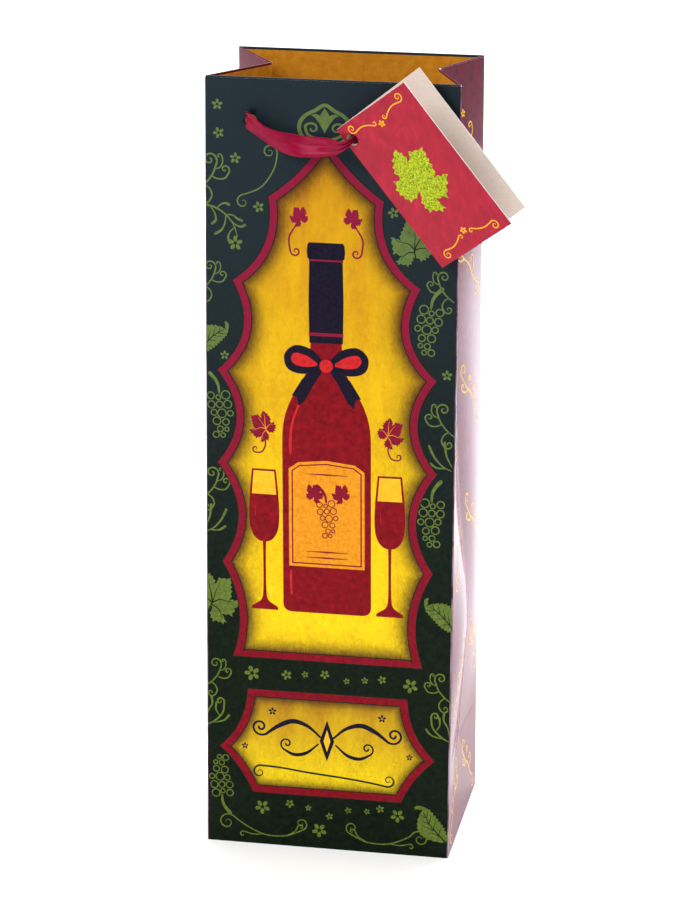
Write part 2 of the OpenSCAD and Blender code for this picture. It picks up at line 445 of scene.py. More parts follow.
M_GREEN = printed("print_green", green_dark, green_lite, spread=(0.34, 0.66),
                  extra=lambda nt, c: painted_sheen_by_height(nt, 0.08, 0.38, c, lin(33, 43, 52), 0.74))
M_OLIVE = printed("print_olive", olive_dark, olive_lite, grain=700,
                  extra=lambda nt, c: painted_sheen_by_height(nt, 0.05, 0.32, c, lin(86, 104, 66), 0.55))
M_CRIMSON = printed("print_crimson_line", crim_dark, crim_lite, grain=500,
                    extra=lambda nt, c: painted_sheen_by_height(nt, 0.05, 0.32, c, lin(126, 24, 56), 0.7))
M_BOTTLE = printed("print_bottle", lin(98, 6, 18), lin(146, 16, 26), grain=380)
M_NAVY = printed("print_navy", navy_dark, navy_lite, grain=600)
M_ORANGE_INK = printed("print_amber", lin(205, 120, 20), lin(232, 160, 36), grain=600)
M_LEAF_DARK = printed("print_dark_vein", lin(16, 24, 16), lin(30, 40, 24), grain=600)
M_GUSSET = printed("print_gusset", lin(72, 0, 28), lin(106, 4, 40), grain=300, warp=0.05, coat=0.46, ior=1.3, spec=0.02)
M_CRACK = printed("print_fold_wear", lin(150, 50, 80), lin(196, 120, 142), grain=900, spec=0.02)
# Pale strip along the rounded folds: partly wear of the print, partly a painted highlight of the glossy fold.
M_FOLD_WEAR_AND_HIGHLIGHT = printed("print_fold_edge", lin(70, 24, 48), lin(176, 150, 166), grain=60, spread=(0.34, 0.72), coat=0.05)
M_YELLOW_INK = printed("print_yellow", lin(222, 160, 26), lin(244, 190, 44), grain=600)
M_LEAF_BRIGHT = printed("print_leaf", lin(84, 118, 30), lin(202, 206, 34), grain=1300, spread=(0.36, 0.64))
M_HEM = printed("hem_orange", lin(178, 114, 26), lin(204, 144, 42), grain=260)
M_RED_GLOW = printed("print_bright_red", lin(170, 24, 30), lin(206, 44, 44), grain=600)


def gold_material(name, low_z, high_z, top, mid, low):
    """Gold field: amber at the top to yellow below, burnt at its border."""
    m, nt, b = new_material(name)
    geo = nt.nodes.new("ShaderNodeTexCoord")
    sep = nt.nodes.new("ShaderNodeSeparateXYZ")
    nt.links.new(geo.outputs["Object"], sep.inputs[0])
    mr = nt.nodes.new("ShaderNodeMapRange")
    mr.inputs["From Min"].default_value = low_z
    mr.inputs["From Max"].default_value = high_z
    nt.links.new(sep.outputs[2], mr.inputs[0])
    base = ramp(nt, mr.outputs[0], [(0.0, low), (0.5, mid), (1.0, top)])
    n1 = noise(nt, 620.0, 5.0, 0.7, stretch=(1, 1, 0.6), distortion=1.0)
    base = mix(nt, rough_range(nt, n1, -0.35, 0.90), base, [c * 0.72 for c in top])
    n3 = noise(nt, 60.0, 4.0, 0.6, stretch=(1.6, 1, 0.5))
    base = mix(nt, rough_range(nt, n3, -0.3, 0.55), base, low)
    at = nt.nodes.new("ShaderNodeAttribute")
    at.attribute_name = "edge"
    e = math_node(nt, "SUBTRACT", at.outputs["Fac"], rough_range(nt, n1, -0.12, 0.12))
    dark = ramp(nt, e, [(0.0, (0, 0, 0)), (0.16, (0.22, 0.22, 0.22)), (0.55, (0.8, 0.8, 0.8)), (1.0, (1, 1, 1))])
    base = mix(nt, dark, lin(64, 36, 6), base)
    nt.links.new(base, b.inputs["Base Color"])
    nt.links.new(rough_range(nt, n1, 0.36, 0.46), b.inputs["Roughness"])
    b.inputs["Specular IOR Level"].default_value = 0.07
    b.inputs["Coat Weight"].default_value = COAT
    b.inputs["Coat Roughness"].default_value = COAT_ROUGH
    b.inputs["Coat IOR"].default_value = 1.5
    bump(nt, b, noise(nt, 30.0, 2.0, 0.5), 0.02, 0.002)
    return m


M_GOLD = gold_material("print_gold_field", 0.095, 0.325, lin(178, 113, 14), lin(210, 166, 6), lin(248, 212, 8))
M_PLAQUE = gold_material("print_gold_plaque", 0.028, 0.078, lin(154, 100, 16), lin(198, 158, 16), lin(246, 218, 12))


def paper(name, dark, light, rough=0.85, scale=900.0, fibre=0.25):
    m, nt, b = new_material(name)
    n1 = noise(nt, scale, 5.0, 0.7)
    n2 = noise(nt, scale * 0.25, 3.0, 0.6, stretch=(1, 1, 4))
    f = math_node(nt, "MULTIPLY", math_node(nt, "ADD", n1, n2), 0.5)
    nt.links.new(ramp(nt, f, [(0.3, dark), (0.7, light)]), b.inputs["Base Color"])
    b.inputs["Roughness"].default_value = rough
    b.inputs["Specular IOR Level"].default_value = 0.25
    bump(nt, b, n1, fibre, 0.00006)
    return m


M_WHITE = paper("paper_white", lin(226, 222, 216), lin(246, 243, 238))
M_INSIDE = paper("paper_inside", lin(222, 217, 208), lin(240, 236, 229))
M_BOARD = paper("grey_board", lin(150, 144, 134), lin(190, 184, 172), scale=600.0, fibre=0.5)
M_TAG_IN = paper("tag_inside", lin(196, 182, 172), lin(212, 198, 188), rough=0.6)
M_EDGE = paper("paper_edge", lin(236, 228, 224), lin(250, 246, 242), rough=0.8)


def tag_red():
    m, nt, b = new_material("tag_red_print")
    n1 = noise(nt, 260.0, 5.0, 0.65, stretch=(1, 1, 0.45), distortion=0.6)
    n2 = noise(nt, 900.0, 3.0, 0.6)
    col = ramp(nt, n1, [(0.32, lin(136, 14, 34)), (0.55, lin(156, 20, 42)), (0.74, lin(180, 24, 54))])
    col = mix(nt, math_node(nt, "MULTIPLY", n2, 0.3), col, lin(150, 20, 48))
    nt.links.new(col, b.inputs["Base Color"])
    b.inputs["Roughness"].default_value = 0.45
    b.inputs["Specular IOR Level"].default_value = 0.14
    b.inputs["Coat Weight"].default_value = 0.08
    b.inputs["Coat Roughness"].default_value = 0.25
    bump(nt, b, n2, 0.08, 0.0001)
    return m


M_TAG_RED = tag_red()


def satin():
    m, nt, b = new_material("satin_ribbon")
    uv = nt.nodes.new("ShaderNodeUVMap")
    uv.uv_map = "ribbon"
    mp = nt.nodes.new("ShaderNodeMapping")
    mp.inputs["Scale"].default_value = (22.0, 2.2, 1.0)
    nt.links.new(uv.outputs[0], mp.inputs[0])
    n = nt.nodes.new("ShaderNodeTexNoise")
    n.inputs["Scale"].default_value = 1.0
    n.inputs["Detail"].default_value = 4.0
    nt.links.new(mp.outputs[0], n.inputs["Vector"])
    w = nt.nodes.new("ShaderNodeTexWave")
    w.wave_type = "BANDS"
    w.bands_direction = "Y"
    w.inputs["Scale"].default_value = 12.0
    w.inputs["Distortion"].default_value = 0.6
    nt.links.new(uv.outputs[0], w.inputs["Vector"])
    col = ramp(nt, n.outputs[0], [(0.3, lin(114, 0, 34)), (0.7, lin(134, 2, 42))])
    nt.links.new(col, b.inputs["Base Color"])
    nt.links.new(rough_range(nt, n.outputs[0], 0.34, 0.46), b.inputs["Roughness"])
    b.inputs["Specular IOR Level"].default_value = 0.28
    b.inputs["Specular Tint"].default_value = (1.0, 0.35, 0.55, 1)
    b.inputs["Anisotropic"].default_value = 0.55
    b.inputs["Sheen Weight"].default_value = 0.12
    b.inputs["Sheen Roughness"].default_value = 0.35
    b.inputs["Sheen Tint"].default_value = (1.0, 0.25, 0.45, 1)
    h = math_node(nt, "ADD", math_node(nt, "MULTIPLY", w.outputs["Fac"], 0.5), n.outputs[0])
    bump(nt, b, h, 0.07, 0.00006)
    return m


M_SATIN = satin()

# ---------------------------------------------------------------- the sheet's shape (mm)
HW, HD, HM, TOP = 57.0, 44.5, 35.5, 361.0
T = 0.3
FOOT = 44.5
RIGHT = [(FOOT, 54.5), (75, 56.5), (107, 58.5), (160, 53.0), (361, 41.8)]
LEFT = [(FOOT, 55.0), (100, 56.0), (361, 34.6)]


def half_depth(z):
    return HD - (HD - HM) * z / TOP


def crease_x(side, z):
    rows = RIGHT if side > 0 else LEFT
    if z <= FOOT:
        return lerp(HW, rows[0][1], z / FOOT)
    w = min(14.0, z - FOOT, TOP - z)
    return soft_table(rows, z, w)


def wall_bow(x, z, s=1):
    """How far the long wall stands out of its plane."""
    a = (1 - (x / HW) ** 2) * sin(pi * clamp(z / TOP))
    return 0.75 * a + s * 0.22 * sin(x * 0.061 + 0.7) * sin(z * 0.021 + 0.4) * (1 - (x / HW) ** 4) * smooth(361, 300, z) * smooth(0, 40, z)


def gusset_bow(side, f, t, z):
    """How far a gusset's half stands out of the straight line between its folds."""
    e = sin(pi * t)
    up_ = smooth(FOOT, FOOT + 50, z) * smooth(TOP, TOP - 70, z)
    return e * (1.0 * up_ + 0.35 * sin(z * 0.03 + f * 1.3 + side) * up_)


FRONT_N, HALF_N, CORNER_N, MID_N = 44, 14, 4, 6


def section(z):
    """Closed outline of the sheet's outer face at height z: (x, y, panel)."""
    d = half_depth(z)
    out = []
    r = 0.55

    def wall_pts(f):
        pts = []
        for k in range(FRONT_N + 1):
            x = lerp(-HW + r, HW - r, k / FRONT_N)
            y = d + wall_bow(x, z, f)
            pts.append((x, f * y))
        return pts

    def half_pts(side, f):
        """From the outer fold to the crease (or to the foot's diagonal)."""
        cx = crease_x(side, z)
        y_end = 0.35
        if z < FOOT:
            y_end = max(0.35, half_depth(0) * (1 - z / FOOT))
        y_end = min(y_end, d - r - 0.05)
        p0 = Vector((HW, d))
        p1 = Vector((cx, y_end))
        if z < FOOT and (p0 - p1).length < 2:
            p1 = Vector((lerp(HW, cx, 0.5), y_end))
        n = Vector(((p0 - p1).y, -(p0 - p1).x)).normalized()
        pts = []
        for k in range(HALF_N + 1):
            t = k / HALF_N
            start = r / max((p0 - p1).length, 1e-6)
            t = lerp(min(start, 0.9), 1, t)
            q = p0.lerp(p1, t)
            q = q + n * gusset_bow(side, f, t, z)
            pts.append((side * q.x, f * q.y))
        return pts

    def mid_pts(side):
        """Across the crease's rounded tip, from the front half to the rear half."""
        cx = crease_x(side, z)
        y_end = 0.35
        if z < FOOT:
            y_end = max(0.35, half_depth(0) * (1 - z / FOOT))
        y_end = min(y_end, d - r - 0.05)
        pts = []
        for k in range(1, MID_N):
            y = lerp(-y_end, y_end, k / MID_N)
            pts.append((side * (cx - 0.0 * y), y))
        return pts

    def corner(a, c, b):
        """Points between a and b that round off the corner c."""
        pts = []
        for k in range(1, CORNER_N):
            t = k / CORNER_N
            x = (1 - t) ** 2 * a[0] + 2 * t * (1 - t) * c[0] + t * t * b[0]
            y = (1 - t) ** 2 * a[1] + 2 * t * (1 - t) * c[1] + t * t * b[1]
            pts.append((x, y))
        return pts

    front = wall_pts(-1)
    rf = half_pts(1, -1)
    rr = list(reversed(half_pts(1, 1)))
    back = list(reversed(wall_pts(1)))
    lr = half_pts(-1, 1)
    lf = list(reversed(half_pts(-1, -1)))
    out += [(x, y, "front") for x, y in front]
    out += [(x, y, "fold") for x, y in corner(front[-1], (HW, -d), rf[0])]
    out += [(x, y, "right") for x, y in rf]
    out += [(x, y, "right") for x, y in mid_pts(1)]
    out += [(x, y, "right") for x, y in rr]
    out += [(x, y, "fold") for x, y in corner(rr[-1], (HW, d), back[0])]
    out += [(x, y, "back") for x, y in back]
    out += [(x, y, "fold") for x, y in corner(back[-1], (-HW, d), lr[0])]
    out += [(x, y, "left") for x, y in lr]
    out += [(x, y, "left") for x, y in reversed(mid_pts(-1))]
    out += [(x, y, "left") for x, y in lf]
    out += [(x, y, "fold") for x, y in corner(lf[-1], (-HW, -d), front[0])]
    return out


def inset_loop(loop, t):
    n = len(loop)
    out = []
    for i in range(n):
        ax, ay = loop[i - 1][0], loop[i - 1][1]
        bx, by = loop[(i + 1) % n][0], loop[(i + 1) % n][1]
        dx, dy = bx - ax, by - ay
        L = hypot(dx, dy) or 1
        out.append((loop[i][0] - dy / L * t, loop[i][1] + dx / L * t))
    return out


def levels():
    zs = [0.0, 0.6, 1.5, 3]
    z = 6.0
    while z < FOOT - 1:
        zs.append(z)
        z += 3.2
    zs += [FOOT - 1.0, FOOT, FOOT + 1.0]
    z = FOOT + 4
    while z < 356:
        zs.append(z)
        z += 4.0
    zs += [358.0, 360.35]
    return zs


ZS = levels()


def build_sheet():
    loops = [section(z) for z in ZS]
    n = len(loops[0])
    verts, faces, fm = [], [], []
    for z, lp in zip(ZS, loops):
        verts += [(x, y, z) for x, y, _ in lp]
    base = len(verts)
    for z, lp in zip(ZS, loops):
        verts += [(x, y, z) for x, y in inset_loop(lp, T)]
    # Slot 4 is the fold strip: wear plus a painted highlight along the rounded folds.
    mats = [M_GREEN, M_GUSSET, M_INSIDE, M_EDGE, M_FOLD_WEAR_AND_HIGHLIGHT]
    for j in range(len(ZS) - 1):
        for i in range(n):
            i2 = (i + 1) % n
            pa, pb = loops[j][i][2], loops[j][i2][2]
            green = pa in ("front", "back")
            faces.append((j * n + i, j * n + i2, (j + 1) * n + i2, (j + 1) * n + i))
            fm.append(4 if "fold" in (pa, pb) else 0 if green else 1)
            faces.append((base + j * n + i2, base + j * n + i, base + (j + 1) * n + i, base + (j + 1) * n + i2))
            fm.append(2)
    top = (len(ZS) - 1) * n
    for i in range(n):
        i2 = (i + 1) % n
        faces.append((i2, i, base + i, base + i2))
        fm.append(3)
        faces.append((top + i, top + i2, base + top + i2, base + top + i))
        fm.append(3)
    ob = add_object("paper_sheet", verts, faces, mats, fm, recalc=False)
    # crisp creases: the foot's level crease and diagonals, and the gussets' folds
    me = ob.data
    sharp = set()
    jf = ZS.index(FOOT)
    idx = {}
    first = loops[0]
    starts = {}
    for i, p in enumerate(first):
        starts.setdefault(p[2], i)
    r0 = starts["right"]
    l0 = starts["left"]
    rd1, rd2 = r0 + HALF_N, r0 + HALF_N + MID_N
    ld1, ld2 = l0 + HALF_N, l0 + HALF_N + MID_N
    bm = bmesh.new()
    bm.from_mesh(me)
    bm.verts.ensure_lookup_table()

    def mark(a, b):
        e = bm.edges.get((bm.verts[a], bm.verts[b]))
        if e:
            e.smooth = False

    for j in range(len(ZS) - 1):
        for i in (rd1, rd2, ld1, ld2):
            if ZS[j] < FOOT:
                mark(j * n + i, (j + 1) * n + i)
    for i in range(r0, r0 + 2 * HALF_N + MID_N):
        mark(jf * n + i, jf * n + i + 1)
    for i in range(l0, l0 + 2 * HALF_N + MID_N):
        mark(jf * n + i, jf * n + i + 1)
    for e in bm.edges:
        if len(e.link_faces) == 2 and e.calc_face_angle(0) > radians(50):
            e.smooth = False
    bm.to_mesh(me)
    bm.free()
    return ob


LEAN = math.atan((HD - HM) / TOP)
HOLE_Z = JOINT["front_handle_swing"]["pos_m"][2] / MM
HOLE_X = 36.0


def hole_cuts(r=2.75):
    cuts = []
    for f in (-1, 1):
        y = f * half_depth(HOLE_Z)
        for x in (-HOLE_X, HOLE_X):
            cuts.append(((x, y, HOLE_Z), (0, cos(LEAN), f * sin(LEAN)), r, 5))
    return cuts


sheet_ob = build_sheet()
drill(sheet_ob, hole_cuts(2.6), M_CRIMSON)
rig.ride(sheet_ob, "bag")
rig.replaces(sheet_ob, "front_wall", "back_wall", "left_gusset_front", "left_gusset_rear", "left_gusset_foot",
            "right_gusset_front", "right_gusset_rear", "right_gusset_foot")
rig.slot(sheet_ob, "printed_green_paper")

# ---------------------------------------------------------------- hems
HEM = 42.0


def panel_loop(z, panel):
    """The outline's points of one panel at height z, with inward normals."""
    lp = section(z)
    n = len(lp)
    pts = []
    for i, p in enumerate(lp):
        ax, ay = lp[i - 1][0], lp[i - 1][1]
        bx, by = lp[(i + 1) % n][0], lp[(i + 1) % n][1]
        dx, dy = bx - ax, by - ay
        L = hypot(dx, dy) or 1
        pts.append((p[0], p[1], -dy / L, dx / L, p[2]))
    if panel == "front":
        idx = [i for i, p in enumerate(pts) if p[4] == "front"][: FRONT_N + 1]
    elif panel == "back":
        idx = [i for i, p in enumerate(pts) if p[4] == "back"][: FRONT_N + 1]
    elif panel == "right":
        idx = [i for i, p in enumerate(pts) if p[4] == "right"][: 2 * HALF_N + 1 + MID_N]
    else:
        idx = [i for i, p in enumerate(pts) if p[4] == "left"][: 2 * HALF_N + 1 + MID_N]
    return [pts[i] for i in idx]


def build_hem(name, panel, inner, bleed_mat, trim):
    """Folded-in strip: over the rim, down the inside, hem height HEM."""
    outer = inner - T
    prof = [(0.0, TOP - 0.62), (0.03, TOP - 0.30), (0.14, TOP - 0.09), (0.34, TOP)]
    if inner > 0.8:
        prof += [(inner - 0.34, TOP)]
    prof += [(inner - 0.12, TOP - 0.10), (inner, TOP - 0.36), (inner, TOP - 1.1), (inner, TOP - 3.6)]
    n_bleed = len(prof) - 2
    z = TOP - 8
    while z > TOP - HEM + 1:
        prof.append((inner, z))
        z -= 5.0
    prof.append((inner, TOP - HEM))
    back = [(outer, TOP - HEM)]
    z = TOP - HEM + 5
    while z < TOP - 4:
        back.append((outer, z))
        z += 6.0
    back += [(outer, TOP - 0.66), (0.0 + T if outer <= T + 1e-6 else outer - 0.02, TOP - 0.66)]
    prof2 = prof + back
    rows = []
    for ins, z in prof2:
        pl = panel_loop(min(z, TOP - 0.01), panel)
        row = []
        m = len(pl)
        for i, (x, y, nx, ny, _) in enumerate(pl):
            row.append((x + nx * ins, y + ny * ins, z))
        # keep clear of the neighbours' hems at each end
        cut = trim
        row = row[cut: len(row) - cut]
        rows.append(row)
    m = len(rows[0])
    k = len(rows)
    verts = [p for row in rows for p in row]
    faces, fm = [], []
    for a in range(k):
        b = (a + 1) % k
        for i in range(m - 1):
            faces.append((a * m + i, b * m + i, b * m + i + 1, a * m + i + 1))
            if a < n_bleed:
                fm.append(0)
            elif a < len(prof) - 1:
                fm.append(1)
            else:
                fm.append(2)
    faces.append(tuple(a * m for a in range(k)))
    fm.append(2)
    faces.append(tuple(a * m + m - 1 for a in reversed(range(k))))
    fm.append(2)
    ob = add_object(name, verts, faces, [bleed_mat, M_HEM, M_EDGE], fm)
    sharpen(ob, 60)
    return ob


hems = {}
for name, panel, inner, mat, trim in (
    ("front_hem_fold", "front", 1.2, M_GREEN, 0),
    ("back_hem_fold", "back", 1.2, M_GREEN, 0),
    ("right_gusset_hem_fold", "right", 0.62, M_GUSSET, 0),
    ("left_gusset_hem_fold", "left", 0.62, M_GUSSET, 0),
):
    hems[panel] = build_hem(name, panel, inner, mat, trim)
drill(hems["front"], hole_cuts()[:2], M_EDGE)
drill(hems["back"], hole_cuts()[2:], M_EDGE)
for panel, node in (("front", "front_hem"), ("back", "back_hem"), ("right", "right_gusset_hem"), ("left", "left_gusset_hem")):
    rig.ride(hems[panel], "bag")
    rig.replaces(hems[panel], node)
    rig.slot(hems[panel], "printed_orange_paper")

# ---------------------------------------------------------------- printed artwork, drawn flat in mm
MATS = {
    "olive": M_OLIVE, "crimson": M_CRIMSON, "gold": M_GOLD, "plaque": M_PLAQUE, "navy": M_NAVY, "bottle": M_BOTTLE,
    "amber": M_ORANGE_INK, "vein": M_LEAF_DARK, "yellow": M_YELLOW_INK, "leaf": M_LEAF_BRIGHT, "ground": M_GREEN,
    "red": M_RED_GLOW, "crack": M_CRACK,
}


class Art:
    """Flat shapes: triangles with a colour and a height above the paper."""

    def __init__(self):
        self.tris = {}
        self.count = 0

    def add(self, pts, tris, colour, layer):
        self.count += 1
        lift = 0.022 + 0.018 * layer + 0.00025 * (self.count % 40)
        self.tris.setdefault(colour, []).append((pts, tris, lift))

    def poly(self, loops, colour, layer=0):
        if loops and not hasattr(loops[0][0], "__len__"):
            loops = [loops]
        v = [[Vector((p[0], p[1], 0)) for p in lp] for lp in loops]
        tris = tessellate_polygon(v)
        pts = [(p[0], p[1]) for lp in loops for p in lp]
        self.add(pts, [tuple(t) for t in tris], colour, layer)

    def stroke(self, pts, width, colour, layer=0, cap=True):
        """A line whose width is a number or a function of 0..1."""
        base = width if callable(width) else (lambda t: width)
        w = (lambda t: 0.87 * base(t)) if colour == "olive" else base
        n = len(pts)
        L = [0.0]
        for a, b in zip(pts, pts[1:]):
            L.append(L[-1] + hypot(b[0] - a[0], b[1] - a[1]))
        tot = L[-1] or 1
        left, right = [], []
        for i, p in enumerate(pts):
            a, b = pts[max(i - 1, 0)], pts[min(i + 1, n - 1)]
            dx, dy = b[0] - a[0], b[1] - a[1]
            q = hypot(dx, dy) or 1
            h = w(L[i] / tot) / 2
            left.append((p[0] - dy / q * h, p[1] + dx / q * h))
            right.append((p[0] + dy / q * h, p[1] - dx / q * h))
        pp = left + right
        tris = []
        for i in range(n - 1):
            tris.append((i, n + i, n + i + 1))
            tris.append((i, n + i + 1, i + 1))
        if cap:
            for i, c in ((0, pts[0]), (n - 1, pts[-1])):
                h = w(L[i] / tot) / 2
                if h > 0.12:
                    first = len(pp)
                    pp.append(c)
                    for k in range(10):
                        t = 2 * pi * k / 10
                        pp.append((c[0] + h * cos(t), c[1] + h * sin(t)))
                    for k in range(10):
                        tris.append((first, first + 1 + k, first + 1 + (k + 1) % 10))
        self.add(pp, tris, colour, layer)


def xf(pts, x=0, z=0, s=1.0, a=0.0, flip=False):
    c, q = cos(radians(a)), sin(radians(a))
    out = []
    for p in pts:
        px = -p[0] if flip else p[0]
        out.append((x + s * (px * c - p[1] * q), z + s * (px * q + p[1] * c)))
    return out


def curve(ctrl, n=12):
    """Catmull-Rom through the points."""
    P = [ctrl[0]] + list(ctrl) + [ctrl[-1]]
    out = []
    for i in range(1, len(P) - 2):
        p0, p1, p2, p3 = P[i - 1], P[i], P[i + 1], P[i + 2]
        for k in range(n):
            t = k / n
            q = []
            for d in range(len(p1)):
                q.append(0.5 * (2 * p1[d] + (p2[d] - p0[d]) * t + (2 * p0[d] - 5 * p1[d] + 4 * p2[d] - p3[d]) * t * t
                                + (3 * p1[d] - p0[d] - 3 * p2[d] + p3[d]) * t ** 3))
            out.append(tuple(q))
    out.append(tuple(ctrl[-1]))
    return out


def spiral(cx, cz, r, a0, turns, ccw=True, inner=0.12, n=None):
    """From the outside at angle a0 (degrees) to the middle."""
    n = n or int(22 * turns) + 6
    out = []
    for k in range(n + 1):
        t = k / n
        a = radians(a0) + (1 if ccw else -1) * 2 * pi * turns * t
        rr = r * (1 - (1 - inner) * t ** 0.85)
        out.append((cx + rr * cos(a), cz + rr * sin(a)))
    return out


def curl(pts, r, turns, ccw, inner=0.15):
    """Carry a line on into a spiral that leaves it smoothly."""
    (ax, az), (bx, bz) = pts[-2], pts[-1]
    L = hypot(bx - ax, bz - az) or 1
    ux, uz = (bx - ax) / L, (bz - az) / L
    nx, nz = (-uz, ux) if ccw else (uz, -ux)
    cx, cz = bx + nx * r, bz + nz * r
    a0 = math.degrees(atan2(bz - cz, bx - cx))
    return pts + spiral(cx, cz, r, a0, turns, ccw, inner)[1:]


def scroll(ctrl, r1=0, t1=1.2, c1=True, r0=0, t0=1.2, c0=True):
    pts = curve(ctrl, 10)
    if r1:
        pts = curl(pts, r1, t1, c1)
    if r0:
        pts = list(reversed(curl(list(reversed(pts)), r0, t0, c0)))
    return pts


def disc(cx, cz, r, n=20):
    return [(cx + r * cos(2 * pi * k / n), cz + r * sin(2 * pi * k / n)) for k in range(n)]


def taper(w0, w1=None, end=0.35):
    w1 = w0 if w1 is None else w1
    return lambda t: (w0 * (1 - t) + w1 * t) * (end + (1 - end) * min(1, t / 0.12)) * (end + (1 - end) * min(1, (1 - t) / 0.12))


def flower(A, x, z, r, colour="olive", a=0, petals=5, layer=0):
    for k in range(petals):
        t = radians(a + 90 + 360 * k / petals)
        px, pz = x + 0.62 * r * cos(t), z + 0.62 * r * sin(t)
        pet = []
        for j in range(14):
            q = 2 * pi * j / 14
            rx, rz = 0.42 * r * cos(q), 0.27 * r * sin(q)
            if abs(q) < 0.3:
                rx *= 0.82
            pet.append((px + rx * cos(t) - rz * sin(t), pz + rx * sin(t) + rz * cos(t)))
        A.poly(pet, colour, layer)


def ring(A, x, z, r, w, colour, layer=0):
    A.poly([disc(x, z, r, 22), list(reversed(disc(x, z, r - w, 22)))], colour, layer)


def grapes(A, x, z, s=1.0, a=0, flip=False, colour="olive", layer=0):
    """A bunch of ring berries hanging below a stem."""
    spots = [(-3.6, -2.4, 1.45), (-0.9, -2.9, 1.05), (1.7, -1.9, 1.7), (-3.4, -5.6, 1.5), (-0.5, -5.4, 1.35), (2.4, -5.2, 1.6),
             (-2.5, -8.4, 1.25), (0.3, -8.6, 1.75), (3.3, -8.4, 1.2), (-1.5, -11.4, 1.55), (1.7, -11.6, 1.35),
             (-0.3, -14.2, 1.2), (2.0, -14.2, 0.95), (-1.8, -16.3, 1.3), (0.6, -16.4, 1.0)]
    for px, pz, r in spots:
        (qx, qz), = xf([(px, pz)], x, z, s, a, flip)
        ring(A, qx, qz, r * s, 0.42 * s, colour, layer + 1)
    stem = xf(curve([(-0.6, -1.2), (-0.9, 1.4), (-2.0, 3.6), (-3.8, 5.6)], 8), x, z, s, a, flip)
    A.stroke(stem, lambda t: s * (0.9 + 0.7 * t), colour, layer)


def vine_leaf(A, x, z, s=1.0, a=0, flip=False, colour="olive", vein="vein", layer=0, lobes=None):
    """Five-lobed leaf with saw-tooth edges, stalk at the origin, pointing up."""
    tips = lobes or [(-62, 0.62), (-22, 0.86), (28, 1.0), (90, 1.18), (152, 1.0), (202, 0.86), (242, 0.62)]
    pts = []
    for (a0, r0), (a1, r1) in zip(tips, tips[1:]):
        steps = 9
        for k in range(steps):
            t = k / steps
            ang = lerp(a0, a1, t)
            dip = 1 - 0.42 * sin(pi * t) ** 1.4
            rr = lerp(r0, r1, t) * dip
            saw = 1 + 0.055 * (1 if k % 2 == 0 else -1)
            pts.append((6 * rr * saw * cos(radians(ang)), 6 * rr * saw * sin(radians(ang)) + 1.2))
    pts.append((6 * tips[-1][1] * cos(radians(tips[-1][0])), 6 * tips[-1][1] * sin(radians(tips[-1][0])) + 1.2))
    pts.append((-0.5, -0.6))
    pts.append((0.5, -0.6))
    A.poly(xf(pts, x, z, s, a, flip), colour, layer)
    if vein:
        for ang, r in tips[1:-1]:
            v = [(0, -0.2), (6 * r * 0.45 * cos(radians(ang)) * 1.02, 1.2 + 6 * r * 0.45 * sin(radians(ang))),
                 (6 * r * 0.78 * cos(radians(ang)), 1.2 + 6 * r * 0.78 * sin(radians(ang)))]
            A.stroke(xf(curve(v, 5), x, z, s, a, flip), lambda t: s * 0.42 * (1 - 0.75 * t), vein, layer + 1, cap=False)


GRAPE_LEAF = [(19.8, 54.8), (19.9, 53.2), (21.3, 52.0), (20.9, 50.7), (22.1, 49.5), (20.6, 47.3), (22.4, 47.7), (24.9, 51.1),
              (26.3, 49.8), (28.3, 49.9), (29.3, 48.9), (32.3, 49.4), (31.4, 47.6), (31.9, 46.4), (30.7, 44.7), (31.5, 43.5),
              (30.0, 42.1), (30.9, 40.6), (29.5, 39.3), (29.8, 37.4), (27.2, 35.2), (29.7, 35.5), (30.7, 34.2), (32.4, 34.6),
              (34.4, 33.3), (32.4, 32.3), (31.7, 30.2), (29.6, 29.8), (29.1, 27.5), (27.1, 26.9), (26.7, 24.5), (24.9, 26.7),
              (22.8, 26.4), (20.8, 27.9), (21.4, 25.2), (21.2, 23.8), (22.4, 21.4), (20.7, 22.3), (19.7, 20.8), (18.5, 22.8),
              (16.9, 22.6), (15.9, 24.2), (13.3, 23.6), (14.0, 25.6), (12.6, 26.5), (13.7, 28.1), (12.9, 29.4), (14.7, 30.9),
              (16.0, 33.7), (14.1, 33.5), (12.5, 32.0), (10.8, 32.8), (8.1, 31.9), (8.4, 33.7), (6.5, 34.6), (7.5, 36.1),
              (5.6, 37.0), (6.6, 38.7), (5.5, 40.1), (7.6, 41.2), (7.5, 44.1), (9.6, 42.8), (11.4, 42.9), (12.2, 44.8),
              (10.6, 46.5), (12.4, 47.7), (11.9, 49.1), (14.1, 50.0), (14.2, 51.8), (16.4, 52.2), (17.1, 53.9)]


def grape_leaf(A, x, z, s=1.0, a=0, flip=False, colour="olive", vein="vein", layer=0):
    """Broad five-lobed leaf, centred, about 28 mm across at s = 1."""
    pts = [(p[0] - 20.0, p[1] - 38.4) for p in GRAPE_LEAF]
    A.poly(xf(pts, x, z, s, a, flip), colour, layer)
    if vein:
        for v in ([(-7.5, -7.0), (-3.5, -2.5), (0.6, 4.2), (4.6, 9.0)], [(-3.6, -2.6), (-6.4, 1.0), (-9.4, 3.0), (-11.6, 2.0)],
                  [(-3.4, -2.4), (-2.6, 4.0), (-2.6, 9.0), (-1.6, 13.0)], [(-3.5, -2.6), (1.6, -1.6), (6.2, -3.4), (10.4, -4.6)],
                  [(-4.4, -3.6), (-1.0, -7.0), (0.2, -11.4), (-0.4, -14.0)]):
            A.stroke(xf(curve(v, 5), x, z, s, a, flip), lambda t: s * 0.9 * (1 - 0.75 * t), vein, layer + 1, cap=False)


